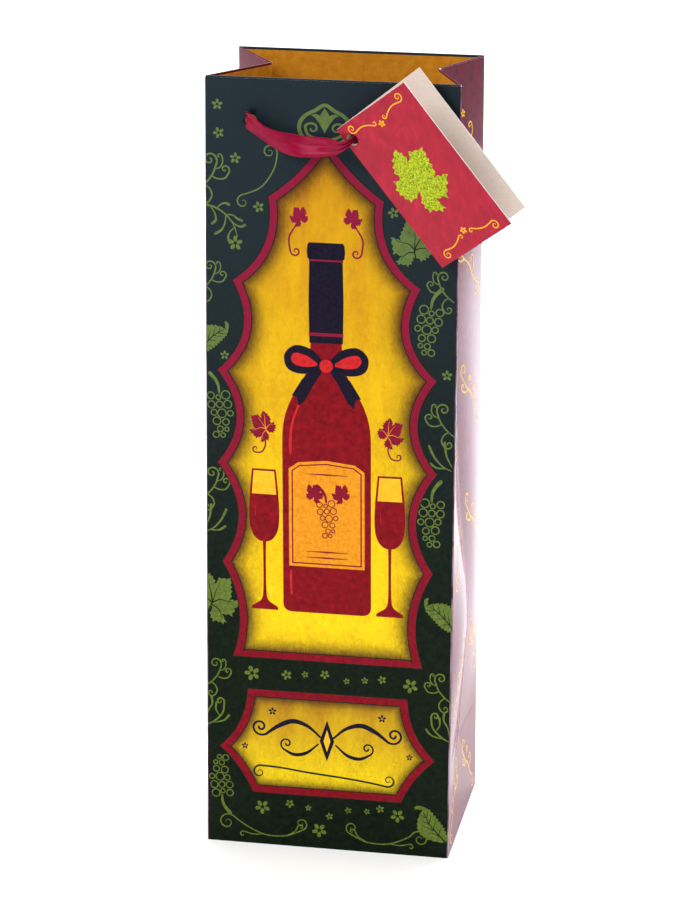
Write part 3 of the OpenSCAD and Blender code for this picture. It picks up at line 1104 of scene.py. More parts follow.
def long_leaf(A, x, z, s=1.0, a=0, flip=False, colour="olive", vein="vein"):
    """A pointed leaf with a curled tip and saw-tooth edges."""
    n = 22
    upp, low = [], []
    for k in range(n + 1):
        t = k / n
        cx = 14 * t
        cz = 3.2 * sin(pi * t * 0.9) * 0.7
        w = 4.7 * sin(pi * min(1, t * 1.02)) ** 0.75 * (1 - 0.25 * t)
        saw = 0.55 if k % 2 else 0.0
        upp.append((cx, cz + w + saw * (w > 1)))
        low.append((cx, cz - w * 0.8 - saw * (w > 1)))
    tip = [(14.4, 1.6), (15.2, 2.8), (15.0, 4.0), (14.2, 4.2), (14.0, 3.2), (13.4, 2.6)]
    A.poly(xf(upp[:-1] + list(reversed(tip)) + list(reversed(low[:-1])), x, z, s, a, flip), colour, 0)
    mid = curve([(-2.5, -0.6), (3, 1.0), (8, 2.1), (12.5, 2.0)], 8)
    A.stroke(xf(mid, x, z, s, a, flip), lambda t: s * 0.6 * (1 - 0.7 * t), vein, 1, cap=False)
    for q in (0.2, 0.38, 0.56, 0.72):
        c = (14 * q, 2.2 * sin(pi * q * 0.9))
        for sg in (1, -1):
            v = curve([c, (c[0] + 1.6, c[1] + sg * 1.3), (c[0] + 2.6, c[1] + sg * 2.7 * (1 - 0.4 * q))], 4)
            A.stroke(xf(v, x, z, s, a, flip), lambda t: s * 0.32 * (1 - 0.7 * t), vein, 1, cap=False)


def tendril(A, x, z, s=1.0, a=0, flip=False, colour="olive"):
    """Two scrolls off one stalk, with comma leaves: the edge ornament."""
    parts = [
        (scroll([(-6.5, -10), (-3.4, -7.4), (-0.9, -4.0), (0.6, 0.2)], 2.9, 1.25, True), 0.8),
        (scroll([(-1.6, -5.0), (1.0, -6.0), (3.6, -5.6), (5.2, -3.4)], 1.9, 1.0, True), 0.75),
        (scroll([(-4.2, -8.2), (-2.2, -9.8), (-1.4, -12.2), (-2.4, -14.4)], 2.1, 1.0, False), 0.75),
        (scroll([(-0.2, -2.4), (1.8, -1.6), (2.8, 0.4), (2.6, 2.6)], 1.1, 0.8, True), 0.65),
    ]
    for pts, w in parts:
        A.stroke(xf(pts, x, z, s, a, flip), lambda t, w=w: s * w * (0.75 + 0.25 * sin(pi * t)), colour, 0)


def spray(A, x, z, s=1.0, a=0, flip=False, colour="olive"):
    """Stalk with four comma buds and a flower."""
    stalk = curve([(-8, 5.2), (-3.2, 4.1), (1.0, 1.4), (4.0, -2.4), (5.4, -7.0)], 8)
    A.stroke(xf(stalk, x, z, s, a, flip), lambda t: s * (1.0 - 0.6 * t), colour, 0)
    for pts in (
        [(-5.0, 4.4), (-3.4, 1.8), (-3.0, -0.8), (-4.4, -2.2)],
        [(1.0, 1.4), (0.6, -1.8), (-0.8, -4.6), (-3.2, -6.2)],
        [(1.0, 1.4), (3.6, 1.4), (5.6, 0.0), (7.2, -0.6)],
        [(2.4, -0.2), (4.6, -2.2), (6.8, -3.0), (8.4, -2.4)],
        [(-2.6, 3.6), (-1.2, 5.2), (0.8, 6.0), (2.2, 5.4)],
        [(4.4, -3.4), (2.6, -5.2), (1.8, -7.4), (2.4, -9.4)],
    ):
        c = curve(pts, 8)
        A.stroke(xf(c, x, z, s, a, flip), lambda t: s * (0.55 + 0.75 * t ** 2), colour, 0)
    (fx, fz), = xf([(4.6, -9.6)], x, z, s, a, flip)
    flower(A, fx, fz, 2.9 * s, colour)


def arc_to(p, q, bulge, n=14):
    """Points from p to q along an arc that stands bulge to the left of the way."""
    dx, dy = q[0] - p[0], q[1] - p[1]
    L = hypot(dx, dy)
    nx, ny = -dy / L, dx / L
    return [(lerp(p[0], q[0], k / n) + nx * bulge * 4 * (k / n) * (1 - k / n),
             lerp(p[1], q[1], k / n) + ny * bulge * 4 * (k / n) * (1 - k / n)) for k in range(n)]


def cusped(points):
    """Closed outline: [(x, z, bulge of the arc to the next point)], left-hand side in."""
    out = []
    for (x, z, b), (x1, z1, _) in zip(points, points[1:] + points[:1]):
        out += arc_to((x, z), (x1, z1), b)
    return out


def offset_outline(pts, d):
    """Move a closed, counter-clockwise outline inwards by d, mitred."""
    n = len(pts)
    out = []
    for i in range(n):
        p0, p1, p2 = pts[i - 1], pts[i], pts[(i + 1) % n]
        a = Vector((p1[0] - p0[0], p1[1] - p0[1])).normalized()
        b = Vector((p2[0] - p1[0], p2[1] - p1[1])).normalized()
        na, nb = Vector((-a.y, a.x)), Vector((-b.y, b.x))
        m = na + nb
        k = m.dot(na)
        if k < 0.35:
            k = 0.35
        v = m * (d / k)
        out.append((p1[0] + v.x, p1[1] + v.y))
    return out


def clean_loop(pts, centre, min_gap=0.05):
    out = []
    for p in pts:
        if not out or hypot(p[0] - out[-1][0], p[1] - out[-1][1]) > min_gap:
            out.append(p)
    return out


# cartouche, counter-clockwise from the apex down the left side
CART = [(0, 336.5, 2.4), (-26, 308.4, 6.8), (-42.6, 269.8, 8.6), (-50, 228.2, 8.8), (-50.4, 184.9, 8.6), (-48.7, 138, 5.4),
        (-44.2, 92.3, 0), (44.2, 92.3, 5.4), (48.7, 138, 8.6), (50.4, 184.9, 8.8), (50, 228.2, 8.6), (42.6, 269.8, 6.8),
        (26, 308.4, 2.4)]
PLAQ = [(-37.4, 77, 3.4), (-50.6, 47.6, 1.6), (-35, 25.8, 0), (35, 25.8, 1.6), (50.6, 47.6, 3.4), (37.4, 77, 0)]


def dist_to(pts, x, z):
    best = 1e9
    n = len(pts)
    for i in range(n):
        ax, ay = pts[i]
        bx, by = pts[(i + 1) % n]
        dx, dy = bx - ax, by - ay
        t = clamp(((x - ax) * dx + (z - ay) * dy) / (dx * dx + dy * dy + 1e-12))
        d = (ax + t * dx - x) ** 2 + (ay + t * dy - z) ** 2
        if d < best:
            best = d
    return sqrt(best)


def bottle(A):
    """A plain wine bottle with a bow, between two stemmed glasses."""
    z0, z1 = 116.0, 289.0
    prof = [(0, z0), (16.5, z0), (18.4, z0 + 0.5), (19.8, z0 + 1.8), (20.3, z0 + 4), (20.3, z0 + 8), (20.3, 150), (20.3, 188), (20.3, 196), (20.0, 203), (18.6, 210), (15.8, 217), (12.2, 223),
            (9.2, 229), (7.6, 236), (7.0, 244), (6.8, 252), (6.8, 284), (0, 284)]
    right = curve(prof[1:-1], 3)
    out = [(x, z) for x, z in right]
    out = [(x, z) for x, z in out] + [(-x, z) for x, z in reversed(out)]
    A.poly(out, "bottle", 2)
    cap = [(7.6, 243), (7.9, 262), (7.5, 281), (8.3, 281.6), (8.6, 284.4), (8.3, 287.6), (7.6, 288.6)]
    A.poly(cap + [(-x, z) for x, z in reversed(cap)], "navy", 3)
    for z, w in ((246.2, 1.5), (280.2, 0.8)):
        A.poly([(-7.8, z), (7.8, z), (7.8, z + w), (-7.8, z + w)], "crimson", 4)
    # label with a crimson frame, a grape bunch and two small leaves
    lab = [(-17.4, 138), (17.4, 138), (17.4, 184), (13, 187.2), (0, 188.6), (-13, 187.2), (-17.4, 184)]
    A.poly(lab, "amber", 3)
    A.poly([offset_outline(lab, 1.3), list(reversed(offset_outline(lab, 1.9)))], "crimson", 4)
    grapes(A, 0.4, 170.5, 1.05, 2, colour="crimson", layer=4)
    grape_leaf(A, -5.6, 173.0, 0.3, 30, False, "crimson", None, 4)
    grape_leaf(A, 6.6, 173.4, 0.3, -20, True, "crimson", None, 4)
    for z in (142.6, 145.4, 182.0):
        A.stroke([(-10, z), (0, z), (10, z)], taper(0.8, 0.8, 0.2), "crimson", 4)
    # glint down the left flank
    A.stroke(curve([(-16.4, 124), (-16.7, 133), (-16.5, 136)], 6), taper(1.1, 1.1, 0.3), "red", 3)
    A.stroke(curve([(-16.6, 190), (-16.2, 202), (-13.4, 212), (-9, 220)], 8), taper(1.5, 0.7, 0.2), "red", 3)
    # bow round the neck
    for s in (-1, 1):
        loop = curve([(0, 233), (6 * s, 239.5), (14 * s, 241.5), (19 * s, 237), (17.5 * s, 230.5), (10 * s, 228.5), (0, 231.5)], 8)
        A.poly(loop if s > 0 else list(reversed(loop)), "navy", 5)
        inner = curve([(4 * s, 233.8), (9 * s, 237), (14.2 * s, 238), (16 * s, 235.4), (14 * s, 232.6), (9 * s, 231.8), (4 * s, 232.6)], 6)
        A.poly(inner if s > 0 else list(reversed(inner)), "red", 6)
        tail = [(0.5 * s, 231.5), (5 * s, 225), (9.5 * s, 216.5), (12.6 * s, 213.4), (13.4 * s, 217.6), (15.8 * s, 218.2), (11 * s, 226), (3.6 * s, 233.4)]
        A.poly(tail if s > 0 else list(reversed(tail)), "navy", 4)
    A.poly(disc(0, 232.6, 3.1, 20), "red", 7)
    # glasses
    for s in (-1, 1):
        cx = 28.9 * s
        bowl = [(0, 148.6), (2.7, 149.2), (5.2, 151.8), (6.6, 156), (7.0, 162), (6.7, 170), (6.0, 178), (5.5, 183)]
        bowl_out = curve(bowl, 4)
        outl = bowl_out + [(-x, z) for x, z in reversed(bowl_out)]
        A.poly([(cx + x, z) for x, z in outl], "bottle", 2)
        wine = [(cx + x * 0.84, z) for x, z in outl if z < 171.5]
        air = [(cx + x * 0.86, z - 0.9) for x, z in outl if z > 171.0]
        A.poly(air, "yellow", 3)
        A.stroke([(cx - 4.0, 160.5), (cx - 4.2, 166)], taper(0.8, 0.8, 0.3), "red", 3)
        stem = [(0.75, 149), (0.6, 140), (0.7, 126), (1.5, 121), (4.2, 118.8), (6.0, 117.6), (6.1, 116.2)]
        st = curve(stem, 4)
        A.poly([(cx + x, z) for x, z in st] + [(cx - x, z) for x, z in reversed(st)], "bottle", 2)
    # leaf sprigs over the glasses
    for s in (-1, 1):
        grape_leaf(A, 29.4 * s, 203.0, 0.44, 0, s < 0, "crimson", "amber", 2)
        A.stroke(scroll([(29.2 * s, 199.5), (28.0 * s, 195.0), (29.6 * s, 191.2), (32.4 * s, 190.6)], 1.7, 1.0, s > 0), taper(0.7), "crimson", 2)
        A.stroke(scroll([(13.0 * s, 296.5), (16.5 * s, 290.5), (16.0 * s, 284.0)], 2.4, 1.2, s < 0), taper(0.8), "crimson", 2)
        grape_leaf(A, 12.0 * s, 300.0, 0.3, 20 * s, s < 0, "crimson", None, 2)


def crest(A, x, z, s=1.0):
    """Roundel with a pointed top, two scrolls and a three-leaf finial."""
    outl = []
    for k in range(60):
        t = 2 * pi * k / 60
        r = 10.2
        px, pz = r * sin(t), 8.6 * cos(t)
        if cos(t) > 0.9:
            pz += 2.0 * ((cos(t) - 0.9) / 0.1) ** 2
        outl.append((px, pz - 1))
    outl = list(reversed(outl))
    inn = offset_outline(outl, 1.5)
    A.poly([xf(outl, x, z, s), list(reversed(xf(inn, x, z, s)))], "olive", 0)
    for f in (False, True):
        A.stroke(xf(curve([(0.4, -6.6), (3.2, -5.6), (6.2, -4.0), (7.2, -0.8)], 8) + spiral(4.6, -1.4, 2.9, 12, 0.95, True, 0.2)[1:], x, z, s, 0, f),
                 lambda t: s * (1.5 - 0.7 * t), "olive", 1)
        A.poly(xf([(0.0, -3.2), (2.0, 1.0), (3.6, 3.4), (5.2, 4.4), (3.4, 5.0), (1.6, 4.2), (0.2, 2.4)], x, z, s, 0, f) if not f else
               list(reversed(xf([(0.0, -3.2), (2.0, 1.0), (3.6, 3.4), (5.2, 4.4), (3.4, 5.0), (1.6, 4.2), (0.2, 2.4)], x, z, s, 0, f))), "olive", 1)
    A.poly(xf([(0, 7.6), (-1.6, 4.6), (-0.9, 1.0), (0, -2.6), (0.9, 1.0), (1.6, 4.6)], x, z, s), "olive", 2)
    made = A.tris["olive"]
    for k in range(len(made)):
        pts, tris, lift = made[k]
        made[k] = ([(x + 1.14 * (px - x), z + 0.97 * (pz - z)) for px, pz in pts], tris, lift)


def wall_art():
    A = Art()
    cart, plaq = cusped(CART), cusped(PLAQ)
    rim = 3.5
    for o, colour in ((cart, "gold"), (plaq, "plaque")):
        inn = clean_loop(offset_outline(o, rim), None)
        A.poly([o, list(reversed(offset_outline(o, rim + 0.4)))], "crimson", 1)
        # thin dark keylines on both sides of the rim
        for d in (-0.25, rim - 0.1):
            A.poly([offset_outline(o, d), list(reversed(offset_outline(o, d + 0.45)))], "vein", 2)
        A.poly(inn, colour, 0)
    bottle(A)
    C = Art()
    crest(C, -0.5, 340.8, 1.06)
    for pts, tris, lift in C.tris["olive"]:
        A.count += 1
        A.tris.setdefault("olive", []).append((pts, tris, lift))
    # ornaments: left side, from the top
    for s in (-1, 1):
        flower(A, s * 48.6, 348.4, 2.5)
        flower(A, s * 48.0, 335.8, 2.5, a=20)
        flower(A, s * 40.6, 324.8, 2.5, a=s * 6)
        flower(A, s * 30.2, 303.4, 2.5, a=15)
    for s, f in ((-1, False), (1, True)):
        tendril(A, s * 49.6, 322.4, 1.2, 0, f)
        A.stroke(scroll([(s * 21.6, 327.6), (s * 23.2, 320.6), (s * 29.0, 312.4), (s * 38.4, 308.2)], 3.1, 1.1, s < 0, 3.6, 1.4, s < 0),
                 taper(0.74), "olive", 0)
        spray(A, s * 46.2, 297.6, 1.15, 0, f)
        tendril(A, s * 50.6, 274.5, 1.0, 0, f)
        zt = 178.5 if s < 0 else 214.0
        tendril(A, s * 50.6, zt, 1.1, 0, f)
        zc = zt - 27
        for pts in ([(s * 56.6, zc), (s * 52.6, zc + 2), (s * 49.0, zc + 6), (s * 46.6, zc + 11)],
                    [(s * 56.8, zc + 2), (s * 54.4, zc + 7), (s * 53.6, zc + 13)],
                    [(s * 54.2, zc + 1.0), (s * 50.0, zc + 1.2), (s * 47.2, zc + 3.0)]):
            A.stroke(curve(pts, 8), lambda t: 0.5 + 0.9 * t, "olive", 0)
        tendril(A, s * 50.4, 87.0, 1.0, 0, f)
        A.stroke(scroll([(s * 57.0, 57.4), (s * 53.0, 59.8), (s * 49.2, 64.0), (s * 48.4, 69.4)], 2.0, 1.15, s < 0), taper(0.95), "olive", 0)
        for pts in ([(s * 54.6, 58.8), (s * 51.2, 59.4), (s * 48.2, 60.6), (s * 46.2, 63.0)],
                    [(s * 57.0, 60.0), (s * 56.0, 64.6), (s * 54.2, 68.0), (s * 54.4, 71.4)],
                    [(s * 50.6, 62.4), (s * 52.4, 65.4), (s * 52.2, 68.8)]):
            A.stroke(curve(pts, 8), lambda t: 0.4 + 0.8 * t, "olive", 0)
    # leaves and bunches
    long_leaf(A, -58.2, 236.0, 1.25, 34)
    flower(A, -46.4, 235.0, 2.1)
    grapes(A, -48.4, 219.0, 1.3)
    grape_leaf(A, -51.6, 120.0, 0.74, 14)
    grapes(A, -50.4, 21.5, 1.25, 179)
    grape_leaf(A, 38.6, 290.0, 0.66, -34, True)
    grapes(A, 46.4, 263.0, 1.34, -4, True)
    flower(A, 54.4, 231.0, 2.4)
    grapes(A, 47.0, 174.0, 1.34, 2, True)
    long_leaf(A, 58.6, 111.0, 1.3, -36, True)
    long_leaf(A, 56.2, 8.0, 1.42, 118)
    # rows of small flowers
    for x, z, r in ((-35.2, 84.6, 3.1), (-19.0, 84.9, 2.1), (-10.4, 85.7, 1.4), (-1.2, 86.3, 1.9), (9.0, 83.8, 1.3), (17.4, 84.7, 1.4),
                    (25.4, 85.6, 1.7), (38.6, 83.6, 3.0),
                    (-30.4, 18.6, 3.0), (-17.4, 21.2, 1.8), (-8.6, 19.8, 1.3), (1.4, 16.4, 1.5), (10.2, 20.0, 1.4), (19.0, 20.2, 1.3),
                    (25.2, 22.0, 1.7), (33.4, 19.2, 2.8), (-3.4, 9.0, 3.0)):
        flower(A, x, z, 1.17 * r, a=(x * 37) % 40)
    # foot scrolls
    for s in (-1, 1):
        e = 44.6 if s < 0 else 41.0
        A.stroke(scroll([(s * e, 13.2 if s < 0 else 11.4), (s * 38.0, 8.6), (s * 29.0, 4.8), (s * 19.0, 5.0), (s * 10.6, 8.8)], 3.1, 1.25, s < 0, 4.3, 1.35, s < 0),
                 taper(0.74), "olive", 0)
        A.stroke(scroll([(s * 30.0, 4.9), (s * 35.0, 4.6), (s * 39.4, 5.6)], 1.5, 0.9, s < 0), taper(0.66), "olive", 0)
        A.stroke(scroll([(s * 19.0, 5.0), (s * 15.0, 7.4), (s * 13.4, 10.4)], 1.4, 0.9, s > 0), taper(0.66), "olive", 0)
    # plaque: a plain flourish
    for s in (-1, 1):
        A.stroke(scroll([(s * 3.2, 55.4), (s * 9, 60.4), (s * 16, 62.4), (s * 22.8, 59.6), (s * 28.6, 55.2)], 4.4, 1.35, s > 0),
                 lambda t: 1.0 + 1.3 * sin(pi * min(1, t * 1.5)) ** 2, "navy", 2)
        A.stroke(scroll([(s * 4.2, 51.8), (s * 9.6, 47.2), (s * 15.4, 46.0), (s * 20.4, 48.4)], 3.2, 1.15, s > 0),
                 lambda t: 0.8 + 0.9 * sin(pi * min(1, t * 1.5)) ** 2, "navy", 2)
        flower(A, s * 25.6, 66.6, 1.9, "navy", layer=2)
        flower(A, s * 38.6, 48.6, 1.6, "navy", layer=2)
    A.poly([(0, 64), (-3.4, 53.6), (0, 43.6), (3.4, 53.6)], "navy", 2)
    A.poly([(0, 59.2), (-1.6, 53.6), (0, 48.4), (1.6, 53.6)], "yellow", 3)
    A.stroke(scroll([(-31.6, 39.4), (-22, 39.0), (-8, 37.4), (8, 36.0), (20, 34.6), (28.4, 33.2)], 3.2, 1.2, True, 3.3, 1.2, True),
             taper(0.9), "vein", 2)
    return A


def skew(z):
    return -0.3 - 2.4 * clamp((z - 90) / 240)


def lay_art(A, name, place, limit=7.0, fine=None, keep=None, edge=None):
    """Turn flat art into thin printed skin: place(x, z, lift) gives the point in mm."""
    order = list(A.tris)
    mats = [MATS[c] for c in order]
    all_v, all_f, all_m, all_e = [], [], [], []
    for ci, c in enumerate(order):
        for pts, tris, lift in A.tris[c]:
            bm = bmesh.new()
            vs = [bm.verts.new((p[0], p[1], 0)) for p in pts]
            for t in tris:
                try:
                    bm.faces.new([vs[k] for k in t])
                except ValueError:
                    pass
            lim = (fine or {}).get(c, limit)
            for _ in range(9):
                long_e = [e for e in bm.edges if e.calc_length() > lim]
                if not long_e:
                    break
                bmesh.ops.subdivide_edges(bm, edges=long_e, cuts=1)
                bmesh.ops.triangulate(bm, faces=[f for f in bm.faces if len(f.verts) > 3])
            if keep:
                for (px, pz, nx, nz) in keep:
                    geom = list(bm.verts) + list(bm.edges) + list(bm.faces)
                    bmesh.ops.bisect_plane(bm, geom=geom, plane_co=(px, pz, 0), plane_no=(nx, nz, 0), clear_outer=True)
            bm.verts.index_update()
            base = len(all_v)
            for v in bm.verts:
                all_v.append(place(v.co.x, v.co.y, lift))
                all_e.append(edge(c, v.co.x, v.co.y) if edge else 1.0)
            for f in bm.faces:
                if f.calc_area() < 1e-5:
                    continue
                idx = [v.index for v in f.verts]
                if f.normal.z < 0:
                    idx.reverse()
                all_f.append(tuple(base + k for k in idx))
                all_m.append(ci)
            bm.free()
    ob = add_object(name, all_v, all_f, mats, all_m, recalc=False)
    at = ob.data.attributes.new("edge", "FLOAT", "POINT")
    at.data.foreach_set("value", all_e)
    return ob


INNER = {"gold": offset_outline(cusped(CART), 3.5), "plaque": offset_outline(cusped(PLAQ), 3.5)}


def art_edge(c, x, z):
    if c not in INNER:
        return 1.0
    d = dist_to(INNER[c], x, z)
    return clamp(d / (12.5 if c == "gold" else 7.5))


def wall_point(f):
    def place(x, z, lift):
        xx = x + skew(z)
        xx = clamp(xx, -HW + 0.45, HW - 0.45)
        z = clamp(z, 0.4, TOP - 0.8)
        y = half_depth(z) + wall_bow(xx if f < 0 else -xx, z, f) + lift
        return (xx, f * y, z) if f < 0 else (-xx, f * y, z)
    return place


ART = wall_art()
KEEP = [(-56.2, 0, -1, 0), (58.4, 0, 1, 0), (0, 1.0, 0, -1), (0, 360, 0, 1)]
for f, nm in ((-1, "front_print"), (1, "back_print")):
    ob = lay_art(ART, nm, wall_point(f), limit=6.0, fine={"gold": 3.0, "plaque": 2.6}, keep=KEEP, edge=art_edge)
    drill(ob, [((s * HOLE_X, f * half_depth(HOLE_Z), HOLE_Z), (0, 1, 0), 2.78, 5) for s in (-1, 1)], M_EDGE)
    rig.ride(ob, "bag")
    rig.slot(ob, "printed_green_paper")


# ---------------------------------------------------------------- gusset print
def gusset_art():
    """Flat: x is 0 at the front fold to 80 at the back fold, z is height."""
    A = Art()
    for k, z in enumerate((22, 84, 146, 208, 270, 332)):
        for cx, fl in ((21, False), (61, True)):
            s = -1 if fl else 1
            A.stroke(scroll([(cx - s * 12, z - 14), (cx - s * 6, z - 10), (cx - s * 1, z - 3), (cx + s * 6, z + 2), (cx + s * 12, z + 9)],
                            3.4, 1.25, s > 0, 3.4, 1.25, s > 0), taper(0.75), "yellow", 0)
            A.stroke(scroll([(cx - s * 4.2, z - 8.0), (cx - s * 6.6, z - 4.4), (cx - s * 6.4, z - 0.6)], 2.0, 1.0, s < 0), taper(0.7), "yellow", 0)
            A.stroke(scroll([(cx + s * 4.0, z + 0.6), (cx + s * 8.0, z + 0.2), (cx + s * 11.6, z + 1.8)], 1.9, 1.0, s > 0), taper(0.7), "yellow", 0)
            flower(A, cx + s * 2.0, z + 5.6, 2.0, "yellow", layer=1)
    wear = lambda w: (lambda t: w * (0.75 + 0.25 * sin(37 * t) * sin(61 * t + 1)))
    A.stroke([(lerp(1.5, 78.5, k / 40), FOOT) for k in range(41)], wear(0.34), "crack", 1, cap=False)
    A.stroke([(40, z) for z in range(45, 357, 6)], wear(0.14), "crack", 1, cap=False)
    for s in (0, 1):
        dg = []
        for k in range(1, 16):
            z = FOOT * k / 16
            g = 40 * (1 - (FOOT - z) / half_depth(z))
            dg.append((80 - g if s else g, z))
        A.stroke(dg, wear(0.34), "crack", 1, cap=False)
    return A


def gusset_point(side):
    def place(g, z, lift):
        z = clamp(z, 0.4, TOP - 0.9)
        d = half_depth(z)
        cx = crease_x(side, z)
        f = -1 if g < 40 else 1
        t = (g / 40) if g < 40 else (80 - g) / 40
        t = clamp(t, 0.0, 1.0)
        y_end = 0.35
        if z < FOOT:
            y_end = max(0.35, half_depth(0) * (1 - z / FOOT))
            # unfold the foot: beyond the diagonal the sheet is flat between the diagonals
            y = d * (1 - t)
            if y < y_end:
                q = (cx + lift, y * f)
                return (side * q[0], q[1], z)
            t = (d - y) / max(d - y_end, 1e-6)
        p0 = Vector((HW, d))
        p1 = Vector((cx, y_end))
        n = Vector(((p0 - p1).y, -(p0 - p1).x)).normalized()
        tt = clamp(t, 0.6 / max((p0 - p1).length, 1), 0.995)
        q = p0.lerp(p1, tt) + n * (gusset_bow(side, f, tt, z) + lift)
        return (side * q.x, f * q.y, z)
    return place


GA = gusset_art()
for side, nm in ((1, "right_gusset_print"), (-1, "left_gusset_print")):
    ob = lay_art(GA, nm, gusset_point(side), limit=2.5, keep=[(1.2, 0, -1, 0), (78.8, 0, 1, 0), (0, 1.0, 0, -1), (0, 359.6, 0, 1)])
    if side < 0:
        ob.data.flip_normals()
    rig.ride(ob, "bag")
    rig.slot(ob, "printed_crimson_paper")


# ---------------------------------------------------------------- ribbons
def resample(path, step):
    """Even points along a polyline of tuples (x, y, z, ...)."""
    L = [0.0]
    for a, b in zip(path, path[1:]):
        L.append(L[-1] + sqrt(sum((a[i] - b[i]) ** 2 for i in range(3))))
    n = max(2, int(round(L[-1] / step)))
    out = []
    j = 0
    for k in range(n + 1):
        s = L[-1] * k / n
        while j < len(L) - 2 and L[j + 1] < s:
            j += 1
        t = (s - L[j]) / max(L[j + 1] - L[j], 1e-9)
        out.append(tuple(lerp(path[j][i], path[j + 1][i], t) for i in range(len(path[0]))))
    return out, L[-1]


def ribbon(name, ctrl, step=0.7, across=18, thick=0.24, wdir=None, full=4.75):
    """ctrl: (x, y, z, half width, tilt, pleat, camber). The flat band keeps its
    full width by pleating where it is gathered. Returns object, centreline, length."""
    dense = curve(ctrl, 14)
    pts, L = resample(dense, step)
    n = len(pts)
    verts, faces = [], []
    uvs = []
    cols = across + 1
    top_rows, bot_rows = [], []
    run = 0.0
    for i, p in enumerate(pts):
        c = Vector(p[:3])
        a = Vector(pts[max(i - 1, 0)][:3])
        b = Vector(pts[min(i + 1, n - 1)][:3])
        t = (b - a).normalized()
        base = wdir(i / (n - 1), t) if wdir else Vector((0, 0, 1))
        w = (base - t * base.dot(t)).normalized()
        nn = t.cross(w).normalized()
        tilt = p[4]
        w2 = w * cos(tilt) + nn * sin(tilt)
        n2 = nn * cos(tilt) - w * sin(tilt)
        hw, pleat, camber = p[3], p[5], p[6]
        if i:
            run += (Vector(pts[i - 1][:3]) - c).length
        row_t, row_b = [], []
        pos = []
        for k in range(cols):
            u = -1 + 2 * k / across
            off = pleat * (0.75 * sin(2.5 * pi * u + 0.5 + 0.02 * i) + 0.25 * sin(5 * pi * u + 1.1)) + camber * (1 - u * u)
            pos.append((hw * u, off))
        for k in range(cols):
            k0, k1 = max(k - 1, 0), min(k + 1, cols - 1)
            dx, dy = pos[k1][0] - pos[k0][0], pos[k1][1] - pos[k0][1]
            q = hypot(dx, dy) or 1
            mx, my = -dy / q, dx / q
            h = thick / 2
            row_t.append(c + w2 * (pos[k][0] + mx * h) + n2 * (pos[k][1] + my * h))
            row_b.append(c + w2 * (pos[k][0] - mx * h) + n2 * (pos[k][1] - my * h))
        top_rows.append(row_t)
        bot_rows.append(row_b)
        uvs.append(run)
    verts = [v for r in top_rows for v in r] + [v for r in bot_rows for v in r]
    B = n * cols
    uvmap = {}
    for i in range(n):
        for k in range(cols):
            uvmap[i * cols + k] = (full * 2 * k / across / 10, uvs[i] / 10)
            uvmap[B + i * cols + k] = uvmap[i * cols + k]
    for i in range(n - 1):
        for k in range(cols - 1):
            q = i * cols + k
            faces.append((q, q + 1, q + cols + 1, q + cols))
            faces.append((B + q + 1, B + q, B + q + cols, B + q + cols + 1))
        q = i * cols
        faces.append((q + cols, B + q + cols, B + q, q))
        q = i * cols + cols - 1
        faces.append((q, B + q, B + q + cols, q + cols))
    for k in range(cols - 1):
        faces.append((k + 1, k, B + k, B + k + 1))
        q = (n - 1) * cols + k
        faces.append((q, q + 1, B + q + 1, B + q))
    ob = add_object(name, verts, faces, [M_SATIN])
    uv = ob.data.uv_layers.new(name="ribbon")
    for lp in ob.data.loops:
        uv.data[lp.index].uv = uvmap[lp.vertex_index]
    line = [tuple(v * MM for v in p[:3]) for p in pts]
    return ob, line, L * MM


#            x      y      z     half  tilt   pleat camber
FRONT = [
    (-36.2, -35.0, 342.0, 2.1, 0.00, 0.70, 0.0),
    (-36.4, -36.8, 342.3, 2.4, 0.00, 0.60, 0.0),
    (-37.4, -37.8, 342.9, 3.3, 0.02, 0.46, 0.1),
    (-36.6, -39.3, 342.2, 4.1, 0.16, 0.34, 0.4),
    (-33.4, -40.3, 340.0, 4.5, 0.50, 0.20, 1.0),
    (-29.0, -40.6, 337.2, 4.65, 0.62, 0.10, 1.4),
    (-23.0, -40.6, 334.4, 4.75, 0.34, 0.06, 1.1),
    (-17.0, -40.9, 332.9, 4.75, -0.10, 0.04, 0.8),
    (-11.0, -41.4, 332.3, 4.75, -0.46, 0.05, 0.7),
    (-5.0, -42.5, 332.6, 4.6, -0.52, 0.14, 0.8),
    (0.0, -44.2, 333.1, 3.9, -0.30, 0.32, 0.8),
    (4.0, -45.6, 333.5, 2.9, 0.00, 0.48, 0.4),
    (7.2, -46.0, 334.5, 1.8, 0.12, 0.54, 0.1),
    (9.4, -45.0, 335.9, 1.45, 0.08, 0.54, 0.0),
    (10.5, -43.2, 336.8, 1.35, 0.00, 0.54, 0.0),
    (11.0, -41.6, 337.1, 1.35, 0.00, 0.54, 0.0),
    (12.8, -40.2, 337.8, 1.7, 0.00, 0.45, 0.0),
    (17.0, -39.3, 338.9, 2.3, 0.00, 0.30, 0.1),
    (23.0, -38.8, 339.8, 2.5, 0.00, 0.26, 0.2),
    (29.0, -38.2, 341.0, 2.3, 0.00, 0.30, 0.1),
    (33.5, -37.6, 341.7, 1.9, 0.00, 0.45, 0.0),
    (35.7, -36.9, 342.0, 1.7, 0.00, 0.55, 0.0),
    (36.0, -35.2, 342.0, 1.5, 0.00, 0.60, 0.0),
]
front_ribbon, line, length = ribbon("front_ribbon", FRONT, step=0.6)
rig.blend(front_ribbon, "bag", "front_handle", start=(0, -0.0364, 0.342), end=(0, -0.0396, 0.342))
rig.replaces(front_ribbon, "front_ribbon_left", "front_ribbon_right", "front_ribbon_bight")
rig.slot(front_ribbon, "satin_ribbon")
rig.cord(front_ribbon, exit=line[0], length=length, diameter=0.0095, far_end="object", stiffness="limp", lay="hanging", path=line)
print("front ribbon length", length)


